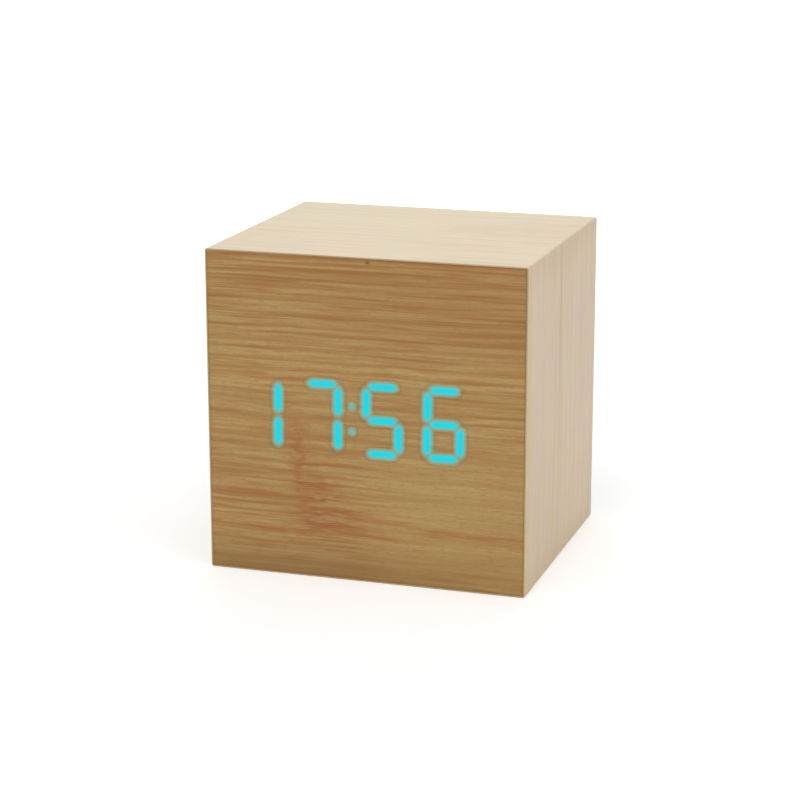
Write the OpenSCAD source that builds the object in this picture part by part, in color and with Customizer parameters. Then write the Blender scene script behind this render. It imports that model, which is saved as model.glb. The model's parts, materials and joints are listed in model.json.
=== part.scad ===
// Table clock: a veneered wooden box whose lit digits shine through the front veneer.
// Millimetres. The origin is under the middle of the box, +Z is up and the front faces -Y.

/* [Case] */
// Width over the side veneers
case_w = 62; // [56:0.5:80]
// Depth from the front veneer to the back rim
case_d = 53.5; // [48:0.5:80]
// Height over the top and bottom veneers
case_h = 62; // [55:0.5:70]
// Thickness of the wood-grain veneer
veneer_t = 0.3; // [0.2:0.05:0.5]
// Thickness of the four case boards
board_t = 4; // [3:0.25:5]
// Thickness of the front board
front_t = 3; // [2:0.25:5]
// Rounding of the long board edges under the veneer
board_r = 0.2; // [0.1:0.05:0.5]

/* [Display] */
// Sideways place of the middle of the display, from the middle of the front
display_x = -2.1; // [-3:0.1:3]
// Height of the middle of the display
display_z = 31.6; // [26:0.1:38]
// Distance between neighbouring digits
digit_pitch = 11.8; // [10.5:0.1:12]
// Distance between the upright strokes of a digit
digit_w = 6.3; // [5:0.1:7]
// Distance between the top and bottom strokes of a digit
digit_h = 12.8; // [10:0.1:14.5]
// Width of a stroke
stroke_w = 1.5; // [1.1:0.05:1.8]
// Wall between the ends of neighbouring strokes
stroke_gap = 0.3; // [0.2:0.05:0.5]
// Diameter of a colon dot
dot_d = 1.1; // [0.8:0.05:1.6]
// Distance between the colon dots
dot_pitch = 4.8; // [3:0.1:7]
// Width of the light box around the digits
window_margin = 1.6; // [1:0.1:1.8]
// Thickness of the diffuser sheet
diffuser_t = 0.3; // [0.2:0.05:0.5]
// Height of the light box flange above and below its nose
flange_margin = 2.6; // [2.3:0.1:4]
// Thickness of the light box flange
flange_t = 2.6; // [2:0.1:4]

/* [Back cover] */
// How far the cover sits in from the back rim
back_recess = 1.5; // [1.2:0.1:3]
// Thickness of the cover plate
cover_t = 2.4; // [2.2:0.1:3.2]
// Gap between the cover and the boards
cover_gap = 0.15; // [0.1:0.05:0.3]
// Width of a corner block
block_w = 6; // [5:0.25:7]
// Height of a corner block
block_h = 4.2; // [4:0.1:6]
// Depth of a corner block
block_d = 12; // [9:0.5:16]
// Radius of a cover screw
screw_r = 0.95; // [0.7:0.05:1.1]
// Radius of a cover screw head
screw_head_r = 1.8; // [1.4:0.05:1.9]
// Length of a cover screw
screw_l = 9; // [7:0.5:11]

/* [Batteries] */
// Gap around each cell
cell_gap = 0.3; // [0.2:0.05:0.4]
// Length of a pressed contact spring
spring_l = 2.6; // [2.2:0.05:4]
// Diameter of the spring wire
spring_wire = 0.45; // [0.35:0.05:0.5]
// Thickness of a contact plate
contact_t = 0.4; // [0.3:0.05:0.5]
// Thickness of the tray walls
tray_t = 1.2; // [1:0.1:1.4]
// Thickness of the battery door
door_t = 1.8; // [1.5:0.1:2]
// Gap around the battery door
door_gap = 0.2; // [0.15:0.05:0.3]
// Width of the ledge under the door edges
door_ledge = 0.8; // [0.6:0.05:0.9]
// Radius of the rolled hinge edge of the door
hinge_r = 1.35; // [1.25:0.05:1.45]
// Radius of the hinge pins
hinge_pin_r = 0.75; // [0.6:0.05:0.85]
// Width of the latch tongue
latch_w = 9; // [6:0.5:14]

/* [Controls] */
// How far a button stands out of the cover
button_out = 1; // [0.8:0.05:1.1]
// Travel of a button
button_travel = 0.5; // [0.25:0.05:0.6]
// Room between neighbouring buttons
button_room = 2.4; // [2:0.1:3.5]
// Room between neighbouring switch housings
switch_room = 2; // [1.6:0.1:3]
// Height of a switch housing
switch_h = 3.4; // [3:0.1:5]
// Thickness of the circuit boards
circuit_t = 1.6; // [1:0.1:2]
// Gap above and below the control board
control_gap = 1.1; // [0.6:0.1:2]
// Radius of the buzzer
buzzer_r = 4.3; // [3.5:0.1:4.4]
// Height of the buzzer
buzzer_h = 4.6; // [3:0.1:5.2]
// Radius of a wire
wire_r = 0.6; // [0.4:0.05:0.7]

/* [Hidden] */
$fn = 48;

// Case: boards inside the veneer, and the hollow inside the boards
core_w = case_w - 2 * veneer_t;
core_h = case_h - 2 * veneer_t;
front_y = -case_d / 2;
back_y = case_d / 2;
board_y0 = front_y + veneer_t;
board_y1 = board_y0 + front_t;
hollow_x = core_w / 2 - board_t;
hollow_z0 = veneer_t + board_t;
hollow_z1 = case_h - hollow_z0;

// Display: strokes, window, light box and its board
stroke_end = (stroke_w + stroke_gap) / sqrt(2);
bar_l = digit_w - 2 * stroke_end + stroke_w;
post_l = digit_h / 2 - 2 * stroke_end + stroke_w;
window_w = 3 * digit_pitch + digit_w + stroke_w + 2 * window_margin;
window_h = digit_h + stroke_w + 2 * window_margin;
nose_gap = 0.15;
flange_w = 2 * hollow_x - 0.4;
flange_h = window_h + 2 * flange_margin;
display_y0 = board_y1 + flange_t;
display_y1 = display_y0 + circuit_t;
small_screw_r = 0.55;
small_head_r = 1.05;
small_head_t = 0.7;
display_screw_depth = 2;
control_screw_depth = 3;
screw_end_gap = 0.15;
display_screw_x = flange_w / 2 - 1.9;
display_screw_z = flange_h / 2 - flange_margin / 2;
led_l = stroke_w + 0.1;
led_w = stroke_w / 2 + 0.05;
led_t = 0.6;
dot_led_w = dot_d / 2 - 0.1;
chip_x = flange_w / 4;
chip_room = 3.2;
leg_w = 0.4;
leg_l = 1.2;
clock_chip_l = digit_pitch + 1;
clock_chip_h = digit_h / 2 + 1.1;
clock_chip_t = 2.2;
driver_chip_l = digit_pitch - 1.6;
driver_chip_h = digit_h / 2 - 0.8;
driver_chip_t = 1.7;
resistor_w = 0.8;
resistor_h = 1.6;
resistor_t = 0.5;
resistor_pitch = 2 * resistor_w;
resistor_z = display_z - driver_chip_h / 2 - chip_room;
crystal_r = 1;
crystal_l = digit_pitch / 2;
crystal_z = display_z - clock_chip_h / 2 - chip_room;
plug_w = 9;
plug_h = 3;
plug_t = 4;
display_plug_z = display_z + window_h / 2 - plug_h;

// Back cover: plate, and the controls in a row behind its top
cover_y1 = back_y - back_recess;
cover_y0 = cover_y1 - cover_t;
cover_x = hollow_x - cover_gap;
screw_x = hollow_x - block_w / 2;
block_gap = 0.3;
row_gap = 0.3;
usb_half_w = 3.45;
usb_half_h = 0.925;
usb_slope_w = 0.8;
usb_wall = 0.3;
usb_base = 2.4;
tongue_w = 5;
tongue_t = 0.6;
usb_out_w = usb_half_w + usb_wall;
control_w = 2 * (hollow_x - block_w - row_gap);
buzzer_x = row_gap + buzzer_r - control_w / 2;
usb_x = control_w / 2 - row_gap - usb_out_w;
row_x0 = buzzer_x + buzzer_r;
row_x1 = usb_x - usb_out_w;
button_pitch = (row_x1 - row_x0) / 3;
button_x = (row_x0 + row_x1) / 2;
button_d = button_pitch - button_room;
switch_w = button_pitch - switch_room;
plunger_r = 0.29 * switch_w;
boss_r = 1.2;
boss_gap = 0.3;
boss_z = switch_w / 2 + boss_gap + boss_r;
control_h = 2 * (boss_z + boss_r + 0.1);
control_z = hollow_z1 - control_gap - control_h / 2;

// Battery bay under the controls: three cells fill it, and the door closes it
hinge_pin_l = 1.2;
hinge_wall = 0.55;
cell_play = 0.1;
bay_x = cover_x - hinge_wall - hinge_pin_l - door_ledge;
bay_z0 = hollow_z0 + block_h + block_gap + tray_t;
bay_z1 = hollow_z1 - control_h - 2 * control_gap - tray_t;
cell_l = 2 * bay_x - spring_l - 2 * contact_t - cell_play;
cell_pitch = (bay_z1 - bay_z0 - cell_gap) / 3;
cell_d = cell_pitch - cell_gap;
cell_button_l = 1;
cell_button_d = 3.8;
door_y0 = cover_y1 - door_t;
cell_y = door_y0 - 0.4 - cell_d / 2;
bay_y0 = cell_y - cell_d / 2 - cell_gap;
side_wall_t = tray_t + 0.2;
open_x = bay_x + door_ledge;
open_z1 = bay_z1 + door_ledge;
hinge_gap = 0.25;
hinge_pin_gap = 0.05;
hinge_y = cover_y1 - hinge_r;
hinge_z = bay_z0 + hinge_gap + hinge_r;
door_x = open_x - door_gap;
door_z1 = open_z1 - door_gap;
notch_h = 1.8;
notch_r = (latch_w * latch_w / 4 + notch_h * notch_h) / (2 * notch_h);
contact_edge = 1.25;
contact_w = cell_d - 2 * contact_edge;
tab_w = 2.4;
tab_l = 1.5;
tab_y0 = bay_y0 - tray_t - tab_l;
wire_lead = 5;

// Depths of the controls behind the cover
button_flange_t = 0.8;
button_flange_w = 0.6;
button_flange_y0 = cover_y0 - 0.1 - button_flange_t;
button_gap = 0.15;
plunger_out = button_travel + 0.9;
plunger_in = 0.9;
switch_y1 = button_flange_y0 - plunger_out;
control_y1 = switch_y1 - switch_h;
control_y0 = control_y1 - circuit_t;
usb_y1 = cover_y1 - 0.3;
mic_w = 3;
mic_h = 2;
mic_t = 1;
sensor_w = 1.6;
sensor_h = 0.8;
sensor_t = 0.6;
sensor_z = control_h / 2 - 1.5;
hole_r = 0.6;
hole_ring_r = buzzer_r / 2;

// Extrude a flat shape given in X and Z along Y, or one given in Y and Z along X
module along_y(y0, y1) {
    translate([0, y1, 0])
        rotate([90, 0, 0])
            linear_extrude(y1 - y0)
                children();
}

module along_x(x0, x1) {
    translate([x0, 0, 0])
        rotate([90, 0, 90])
            linear_extrude(x1 - x0)
                children();
}

module box(low, high) {
    translate(low)
        cube(high - low);
}

module rounded(w, h, r) {
    square([w - 2 * r, h], center = true);
    square([w, h - 2 * r], center = true);
    for (x = [-1, 1], z = [-1, 1])
        translate([x * (w / 2 - r), z * (h / 2 - r)])
            circle(r);
}

module case_outline() {
    translate([0, case_h / 2])
        rounded(case_w, case_h, board_r + veneer_t);
}

module core_outline() {
    translate([0, case_h / 2])
        rounded(core_w, core_h, board_r);
}

module hollow_outline() {
    translate([-hollow_x, hollow_z0])
        square([2 * hollow_x, hollow_z1 - hollow_z0]);
}

// One mitred side of the case: up 1 is the top, up -1 the bottom
module level_side(up) {
    translate([0, case_h / 2])
        polygon([
            [-case_w / 2, up * case_h / 2],
            [case_w / 2, up * case_h / 2],
            [hollow_x, up * (case_h / 2 - hollow_z0)],
            [-hollow_x, up * (case_h / 2 - hollow_z0)]
        ]);
}

// One mitred side of the case: right 1 is +X, right -1 is -X
module upright_side(right) {
    polygon([
        [right * case_w / 2, 0],
        [right * case_w / 2, case_h],
        [right * hollow_x, hollow_z1],
        [right * hollow_x, hollow_z0]
    ]);
}

module side_veneer() {
    color("BurlyWood")
        along_y(front_y, back_y)
            intersection() {
                children();
                difference() {
                    case_outline();
                    core_outline();
                }
            }
}

module side_board() {
    color("Peru")
        along_y(board_y1, back_y - veneer_t)
            intersection() {
                children();
                difference() {
                    core_outline();
                    hollow_outline();
                }
            }
}

module top_veneer() {
    side_veneer()
        level_side(1);
}

module bottom_veneer() {
    side_veneer()
        level_side(-1);
}

module left_veneer() {
    side_veneer()
        upright_side(-1);
}

module right_veneer() {
    side_veneer()
        upright_side(1);
}

module front_veneer() {
    color("DarkGoldenrod")
        along_y(front_y, board_y0)
            core_outline();
}

module back_veneer() {
    color("BurlyWood")
        along_y(back_y - veneer_t, back_y)
            difference() {
                core_outline();
                hollow_outline();
            }
}

module front_board() {
    color("Peru")
        along_y(board_y0, board_y1)
            difference() {
                core_outline();
                translate([display_x, display_z])
                    square([window_w, window_h], center = true);
            }
}

module top_board() {
    side_board()
        level_side(1);
}

module bottom_board() {
    side_board()
        level_side(-1);
}

module left_board() {
    side_board()
        upright_side(-1);
}

module right_board() {
    side_board()
        upright_side(1);
}

// Places of the four corner blocks and their screws
module at_corners() {
    for (x = [-1, 1], z = [hollow_z0 + block_h / 2, hollow_z1 - block_h / 2])
        translate([x * screw_x, z])
            children();
}

module corner_blocks() {
    color("Tan")
        along_y(cover_y0 - block_d, cover_y0)
            at_corners()
                difference() {
                    square([block_w, block_h], center = true);
                    circle(screw_r + 0.05);
                }
}

// Places of the strokes of the four digits, in the plane of the front
module strokes(grow) {
    for (i = [-1.5 : 1.5])
        translate([display_x + i * digit_pitch, display_z]) {
            for (z = [-1, 0, 1])
                translate([0, z * digit_h / 2])
                    stroke(bar_l, grow);
            for (x = [-1, 1], z = [-1, 1])
                translate([x * digit_w / 2, z * digit_h / 4])
                    rotate(90)
                        stroke(post_l, grow);
        }
}

module stroke(l, grow) {
    square([l - stroke_w, stroke_w + grow], center = true);
    for (x = [-1, 1])
        translate([x * (l - stroke_w) / 2, 0])
            circle(d = stroke_w + grow);
}

module dots(d) {
    for (z = [-1, 1])
        translate([display_x, display_z + z * dot_pitch / 2])
            circle(d = d);
}

module nose_outline() {
    translate([display_x, display_z])
        square([window_w - 2 * nose_gap, window_h - 2 * nose_gap], center = true);
}

module flange_outline() {
    translate([0, display_z])
        square([flange_w, flange_h], center = true);
}

module at_display_screws() {
    for (x = [-1, 1], z = [-1, 1])
        translate([x * display_screw_x, display_z + z * display_screw_z])
            children();
}

module diffuser() {
    color("WhiteSmoke")
        along_y(board_y0, board_y0 + diffuser_t)
            nose_outline();
}

module light_box() {
    color("White")
        difference() {
            union() {
                along_y(board_y0 + diffuser_t, board_y1)
                    nose_outline();
                along_y(board_y1, display_y0)
                    flange_outline();
            }
            along_y(front_y, display_y0 + 1) {
                strokes(0);
                dots(dot_d);
            }
            along_y(display_y0 - display_screw_depth - screw_end_gap, display_y0 + 1)
                at_display_screws()
                    circle(small_screw_r + 0.05);
        }
}

module display_board() {
    color("DarkGreen")
        along_y(display_y0, display_y1)
            difference() {
                flange_outline();
                at_display_screws()
                    circle(small_screw_r + 0.1);
            }
}

module display_leds() {
    color("Azure")
        along_y(display_y0 - led_t, display_y0) {
            for (i = [-1.5 : 1.5])
                translate([display_x + i * digit_pitch, display_z]) {
                    for (z = [-1, 0, 1])
                        translate([0, z * digit_h / 2])
                            square([led_l, led_w], center = true);
                    for (x = [-1, 1], z = [-1, 1])
                        translate([x * digit_w / 2, z * digit_h / 4])
                            square([led_w, led_l], center = true);
                }
            for (z = [-1, 1])
                translate([display_x, display_z + z * dot_pitch / 2])
                    square([dot_led_w, led_t], center = true);
        }
}

// A small pan-head screw along Y, its head towards +Y and seated at y = 0
module small_screw(l) {
    cross_l = 1.3;
    cross_w = 0.28;
    along_y(-l, 0.1)
        circle(small_screw_r);
    difference() {
        along_y(0, small_head_t)
            circle(small_head_r);
        along_y(small_head_t / 2, small_head_t + 1) {
            square([cross_l, cross_w], center = true);
            square([cross_w, cross_l], center = true);
        }
    }
}

module display_screws() {
    color("Silver")
        for (x = [-1, 1], z = [-1, 1])
            translate([x * display_screw_x, display_y1, display_z + z * display_screw_z])
                small_screw(circuit_t + display_screw_depth);
}

// A flat chip lying on a board at y = 0 with a row of legs along its top and bottom edges
module chip(l, h, t, legs) {
    leg_pitch = l / legs;
    box([-l / 2, 0.1, -h / 2], [l / 2, t, h / 2]);
    for (i = [0 : legs - 1], side = [-1, 1])
        translate([(i - (legs - 1) / 2) * leg_pitch, 0, side * (h / 2 + leg_l / 3)])
            box([-leg_w / 2, 0, -leg_l / 2], [leg_w / 2, t / 2, leg_l / 2]);
}

module clock_chip() {
    color("DimGray")
        translate([-chip_x, display_y1, display_z])
            chip(clock_chip_l, clock_chip_h, clock_chip_t, 10);
}

module driver_chip() {
    color("DimGray")
        translate([chip_x, display_y1, display_z])
            chip(driver_chip_l, driver_chip_h, driver_chip_t, 8);
}

module resistors() {
    color("Black")
        for (i = [-3.5 : 3.5])
            translate([chip_x + i * resistor_pitch, display_y1, resistor_z])
                box([-resistor_w / 2, 0, -resistor_h / 2], [resistor_w / 2, resistor_t, resistor_h / 2]);
}

module crystal() {
    color("Silver")
        translate([-chip_x, display_y1, crystal_z])
            along_x(-crystal_l / 2, crystal_l / 2)
                translate([crystal_r, 0])
                    circle(crystal_r);
}

module display_plug() {
    color("Ivory")
        translate([0, display_y1, display_plug_z])
            box([-plug_w / 2, 0, -plug_h / 2], [plug_w / 2, plug_t, plug_h / 2]);
}

module control_plug() {
    color("Ivory")
        translate([0, control_y0, control_z])
            box([-plug_w / 2, -plug_t, -plug_h / 2], [plug_w / 2, 0, plug_h / 2]);
}

// A point on the smooth curve that leaves a towards b and reaches d from c
function curve(a, b, c, d, t) =
    pow(1 - t, 3) * a + 3 * pow(1 - t, 2) * t * b + 3 * (1 - t) * t * t * c + t * t * t * d;

function curve_way(a, b, c, d, t) =
    3 * pow(1 - t, 2) * (b - a) + 6 * (1 - t) * t * (c - b) + 3 * t * t * (d - c);

ribbon_t = 0.9;
ribbon_w = 7.2;
ribbon_a = [display_y1 + plug_t, display_plug_z];
ribbon_d = [control_y0 - plug_t, control_z];
ribbon_b = ribbon_a + [plug_w, 0];
ribbon_c = ribbon_d - [plug_w, 0];
ribbon_steps = 16;

// Edge of the ribbon, half its thickness to one side of its middle line
function ribbon_edge(i, side) =
    let (
        t = i / ribbon_steps,
        way = curve_way(ribbon_a, ribbon_b, ribbon_c, ribbon_d, t),
        across = [-way[1], way[0]] / norm(way)
    )
    curve(ribbon_a, ribbon_b, ribbon_c, ribbon_d, t) + side * ribbon_t / 2 * across;

module ribbon_cable() {
    color("LightGray")
        along_x(-ribbon_w / 2, ribbon_w / 2)
            polygon(concat(
                [for (i = [0 : ribbon_steps]) ribbon_edge(i, 1)],
                [for (i = [ribbon_steps : -1 : 0]) ribbon_edge(i, -1)]
            ));
}

// A closed tube of radius r through the points, with a side direction at each point
module tube(points, ways, sides, r, n) {
    rings = len(points);
    corners = [
        for (i = [0 : rings - 1], k = [0 : n - 1])
            let (b = cross(ways[i], sides[i]))
            points[i] + r * (cos(360 * k / n) * sides[i] + sin(360 * k / n) * b)
    ];
    walls = [
        for (i = [0 : rings - 2], k = [0 : n - 1])
            let (a = i * n + k, b = i * n + (k + 1) % n)
            each [[a, a + n, b], [b, a + n, b + n]]
    ];
    ends = [
        [for (k = [0 : n - 1]) k],
        [for (k = [n - 1 : -1 : 0]) (rings - 1) * n + k]
    ];
    polyhedron(corners, concat(walls, ends));
}

function unit(v) = v / norm(v);

// A wire from a contact tab in the tray to the front of the control board
module wire(a, d) {
    b = a - [0, wire_lead, 0];
    c = [d[0], a[1] - wire_lead, d[2]];
    steps = 16;
    points = [for (i = [0 : steps]) curve(a, b, c, d, i / steps)];
    ways = [for (i = [0 : steps]) unit(curve_way(a, b, c, d, i / steps))];
    sides = [for (w = ways) unit([1, 0, 0] - w[0] * w)];
    tube(points, ways, sides, wire_r, 8);
}

module red_wire() {
    color("Red")
        wire([bay_x - contact_t / 2, tab_y0, cell_z(2)], [usb_x, control_y0, control_z + switch_w / 2]);
}

module black_wire() {
    color("Black")
        wire([contact_t / 2 - bay_x, tab_y0, cell_z(0)], [buzzer_x, control_y0, control_z + switch_w / 2]);
}

module at_control_screws() {
    for (x = [row_x0, row_x1], z = [-1, 1])
        translate([x, control_z + z * boss_z])
            children();
}

module control_board() {
    color("DarkGreen")
        along_y(control_y0, control_y1)
            difference() {
                translate([0, control_z])
                    square([control_w, control_h], center = true);
                at_control_screws()
                    circle(small_screw_r + 0.1);
            }
}

module control_screws() {
    color("Silver")
        for (x = [row_x0, row_x1], z = [-1, 1])
            translate([x, control_y0, control_z + z * boss_z])
                mirror([0, 1, 0])
                    small_screw(circuit_t + control_screw_depth);
}

module switch_housings() {
    color("DimGray")
        for (i = [-1 : 1])
            translate([button_x + i * button_pitch, 0, control_z])
                difference() {
                    along_y(control_y1, switch_y1)
                        square([switch_w, switch_w], center = true);
                    along_y(switch_y1 - plunger_in - button_travel - 0.2, switch_y1 + 1)
                        circle(plunger_r + 0.1);
                }
}

module buzzer() {
    color("Black")
        translate([buzzer_x, 0, control_z])
            difference() {
                along_y(control_y1, control_y1 + buzzer_h)
                    circle(buzzer_r);
                along_y(control_y1 + buzzer_h - 1, control_y1 + buzzer_h + 1)
                    circle(1.5 * hole_r);
            }
}

module microphone() {
    color("Goldenrod")
        translate([usb_x, control_y1, control_z - sensor_z])
            difference() {
                box([-mic_w / 2, 0, -mic_h / 2], [mic_w / 2, mic_t, mic_h / 2]);
                along_y(mic_t / 2, mic_t + 1)
                    circle(mic_t * 0.3);
            }
}

module temperature_sensor() {
    color("Black")
        translate([usb_x, control_y1, control_z + sensor_z])
            box([-sensor_w / 2, 0, -sensor_h / 2], [sensor_w / 2, sensor_t, sensor_h / 2]);
}

// Mouth of the power socket, made larger by grow on every side
module usb_outline(grow) {
    slope = grow * 0.4;
    polygon([
        [-usb_half_w - grow, usb_half_h + grow],
        [-usb_half_w - grow, -0.1 - slope],
        [-usb_half_w + usb_slope_w - slope, -usb_half_h - grow],
        [usb_half_w - usb_slope_w + slope, -usb_half_h - grow],
        [usb_half_w + grow, -0.1 - slope],
        [usb_half_w + grow, usb_half_h + grow]
    ]);
}

module usb_shell() {
    color("Silver")
        translate([usb_x, 0, control_z])
            difference() {
                along_y(control_y1, usb_y1)
                    usb_outline(usb_wall);
                along_y(control_y1 - 1, usb_y1 + 1)
                    usb_outline(0);
            }
}

module usb_tongue() {
    color("Black")
        translate([usb_x, 0, control_z]) {
            along_y(control_y1, control_y1 + usb_base)
                usb_outline(-0.05);
            along_y(control_y1 + usb_base, usb_y1 - 0.6)
                translate([-tongue_w / 2, 0.05])
                    square([tongue_w, tongue_t]);
        }
}

module back_cover() {
    color("DarkSlateGray")
        difference() {
            union() {
                box([-cover_x, cover_y0, hollow_z0 + cover_gap], [cover_x, cover_y1, hollow_z1 - cover_gap]);
                box(
                    [-bay_x - side_wall_t, bay_y0 - tray_t, bay_z0 - tray_t],
                    [bay_x + side_wall_t, cover_y0 + 0.1, bay_z1 + tray_t]
                );
                along_y(control_y1, cover_y0 + 0.1)
                    at_control_screws()
                        circle(boss_r);
            }
            battery_bay();
            along_y(cover_y0 - 1, cover_y1 + 1) {
                for (i = [-1 : 1])
                    translate([button_x + i * button_pitch, control_z])
                        circle(d = button_d + 2 * button_gap);
                translate([usb_x, control_z])
                    usb_outline(usb_wall + 0.25);
                translate([usb_x, control_z - sensor_z])
                    circle(mic_t / 2);
                sound_holes();
                at_corners()
                    circle(screw_r + 0.15);
            }
            cover_screw_seats(0.05);
            along_y(control_y1 - 1, control_y1 + control_screw_depth + screw_end_gap)
                at_control_screws()
                    circle(small_screw_r + 0.05);
        }
}

// What the battery bay, its door and the door hinge need cut out of the cover
module battery_bay() {
    box([-bay_x, bay_y0, bay_z0], [bay_x, cover_y1 + 1, bay_z1]);
    box([-open_x, door_y0 - 0.1, bay_z0], [open_x, cover_y1 + 1, open_z1]);
    box(
        [-open_x, hinge_y - hinge_r - hinge_gap, bay_z0],
        [open_x, cover_y1 + 1, hinge_z + hinge_r + hinge_gap]
    );
    along_x(-open_x - hinge_pin_l, open_x + hinge_pin_l)
        translate([hinge_y, hinge_z])
            circle(hinge_pin_r + hinge_pin_gap);
    along_y(cover_y1 - 1, cover_y1 + 1)
        translate([0, open_z1 + notch_h - notch_r])
            circle(notch_r);
    contact_slot(bay_x - contact_t / 2, cell_z(2));
    contact_slot(contact_t / 2 - bay_x, cell_z(0));
}

module contact_slot(x, z) {
    gap = 0.1;
    box(
        [x - contact_t / 2 - gap, bay_y0 - tray_t - 1, z - tab_w / 2 - gap],
        [x + contact_t / 2 + gap, bay_y0 + 1, z + tab_w / 2 + gap]
    );
}

module sound_holes() {
    translate([buzzer_x, control_z]) {
        circle(hole_r);
        for (a = [0 : 60 : 300])
            rotate(a)
                translate([hole_ring_r, 0])
                    circle(hole_r);
    }
}

// Cone under each cover screw head, made larger by gap
module cover_screw_seats(gap) {
    for (x = [-1, 1], z = [hollow_z0 + block_h / 2, hollow_z1 - block_h / 2])
        translate([x * screw_x, cover_y1 + 0.01, z])
            rotate([90, 0, 0])
                cylinder(h = screw_head_r - screw_r + 0.2, r1 = screw_head_r + gap, r2 = screw_r + gap);
}

module cover_screws() {
    cross_l = screw_head_r + 0.2;
    cross_w = 0.45;
    cross_depth = 0.6;
    color("DimGray")
        difference() {
            union() {
                for (x = [-1, 1], z = [hollow_z0 + block_h / 2, hollow_z1 - block_h / 2])
                    translate([x * screw_x, cover_y1, z])
                        rotate([90, 0, 0]) {
                            cylinder(h = screw_head_r - screw_r, r1 = screw_head_r, r2 = screw_r);
                            cylinder(h = screw_l, r = screw_r);
                        }
            }
            along_y(cover_y1 - cross_depth, cover_y1 + 1)
                at_corners() {
                    square([cross_l, cross_w], center = true);
                    square([cross_w, cross_l], center = true);
                }
        }
}

// Height of the middle of a cell: 0 is the lowest, 2 the highest
function cell_z(i) = bay_z0 + cell_gap + cell_d / 2 + i * cell_pitch;

// Side on which the button end of a cell lies: the middle cell lies the other way round
function cell_way(i) = i == 1 ? -1 : 1;

module battery_cells() {
    tip = bay_x - contact_t - cell_play / 2;
    color("SteelBlue")
        for (i = [0 : 2])
            translate([0, cell_y, cell_z(i)])
                rotate([0, cell_way(i) * 90, 0])
                    translate([0, 0, tip - cell_l]) {
                        cylinder(h = cell_l - cell_button_l, d = cell_d);
                        cylinder(h = cell_l, d = cell_button_d);
                    }
}

// A plate against one end of the bay, from the middle of one cell to the middle of another
module contact_plate(side, first, last) {
    x = side * (bay_x - contact_t / 2);
    box(
        [x - contact_t / 2, bay_y0 + 0.1, cell_z(first) - contact_w / 2],
        [x + contact_t / 2, cell_y + contact_w / 2, cell_z(last) + contact_w / 2]
    );
}

module contact_tab(side, i) {
    x = side * (bay_x - contact_t / 2);
    box(
        [x - contact_t / 2, tab_y0, cell_z(i) - tab_w / 2],
        [x + contact_t / 2, bay_y0 + 1, cell_z(i) + tab_w / 2]
    );
}

module contact_plates() {
    color("Silver") {
        contact_plate(1, 0, 1);
        contact_plate(-1, 1, 2);
        contact_plate(1, 2, 2);
        contact_tab(1, 2);
        contact_plate(-1, 0, 0);
        contact_tab(-1, 0);
    }
}

spring_turns = 2.5;
spring_rings = 8 * spring_turns;
spring_r0 = contact_w / 2 - 0.6;
spring_r1 = spring_r0 - 1.5;

// Middle line of a contact spring that stands along +X on x = 0, and its direction
function spring_point(i) =
    let (t = i / spring_rings, r = spring_r0 + t * (spring_r1 - spring_r0), a = 360 * spring_turns * t)
    [spring_wire / 2 + t * (spring_l - spring_wire - 0.05), r * cos(a), r * sin(a)];

function spring_way(i) = unit(spring_point(i + 0.01) - spring_point(i - 0.01));

function spring_side(i) =
    let (p = spring_point(i), out = [0, p[1], p[2]], way = spring_way(i))
    unit(out - (out * way) * way);

// Least gap between neighbouring curls, taken from points along the wire
spring_gaps = [
    for (i = [0 : spring_rings], j = [0 : spring_rings])
        if (j - i >= 6)
            norm(spring_point(i) - spring_point(j)) - spring_wire
];
echo(spring_least_gap = min(spring_gaps));

module contact_springs() {
    rings = [0 : spring_rings];
    color("Silver")
        for (i = [0 : 2])
            translate([-cell_way(i) * (bay_x - contact_t), cell_y, cell_z(i)])
                rotate(cell_way(i) > 0 ? 0 : 180)
                    tube(
                        [for (k = rings) spring_point(k)],
                        [for (k = rings) spring_way(k)],
                        [for (k = rings) spring_side(k)],
                        spring_wire / 2,
                        6
                    );
}

module battery_door() {
    slot_w = 0.7;
    slot_l = 6;
    rib_pitch = 1.3;
    color("Black") {
        difference() {
            union() {
                box([-door_x, door_y0, hinge_z], [door_x, cover_y1, door_z1]);
                along_x(-door_x, door_x)
                    translate([hinge_y, hinge_z])
                        circle(hinge_r);
            }
            for (x = [-1, 1])
                translate([x * latch_w / 2, 0, 0])
                    box(
                        [-slot_w / 2, door_y0 - 1, door_z1 - slot_l],
                        [slot_w / 2, cover_y1 + 1, door_z1 + 1]
                    );
        }
        for (side = [-1, 1])
            translate([side > 0 ? door_x - 0.1 : -door_x - hinge_pin_l, 0, 0])
                along_x(0, hinge_pin_l + 0.1)
                    translate([hinge_y, hinge_z])
                        circle(hinge_pin_r);
        for (i = [0 : 2])
            translate([0, 0, door_z1 - (i + 1.1) * rib_pitch])
                box([-latch_w / 2 + 1, cover_y1 - 0.1, -0.3], [latch_w / 2 - 1, cover_y1 + 0.4, 0.3]);
    }
}

// A round button with a rounded rim outside and a flange inside the cover; i counts from -X
module button(i) {
    rim = 0.5;
    r = button_d / 2;
    l = cover_y1 + button_out - button_flange_y0;
    color("DimGray")
        translate([button_x + i * button_pitch, button_flange_y0, control_z])
            rotate([-90, 0, 0])
                rotate_extrude() {
                    square([r - rim, l]);
                    square([r, l - rim]);
                    translate([r - rim, l - rim])
                        intersection() {
                            circle(rim);
                            square(rim);
                        }
                    square([r + button_flange_w, button_flange_t]);
                }
}

module plunger(i) {
    color("Gray")
        translate([button_x + i * button_pitch, 0, control_z])
            along_y(switch_y1 - plunger_in, button_flange_y0)
                circle(plunger_r);
}

module set_button() {
    button(1);
}

module up_button() {
    button(0);
}

module down_button() {
    button(-1);
}

module set_plunger() {
    plunger(1);
}

module up_plunger() {
    plunger(0);
}

module down_plunger() {
    plunger(-1);
}

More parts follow.
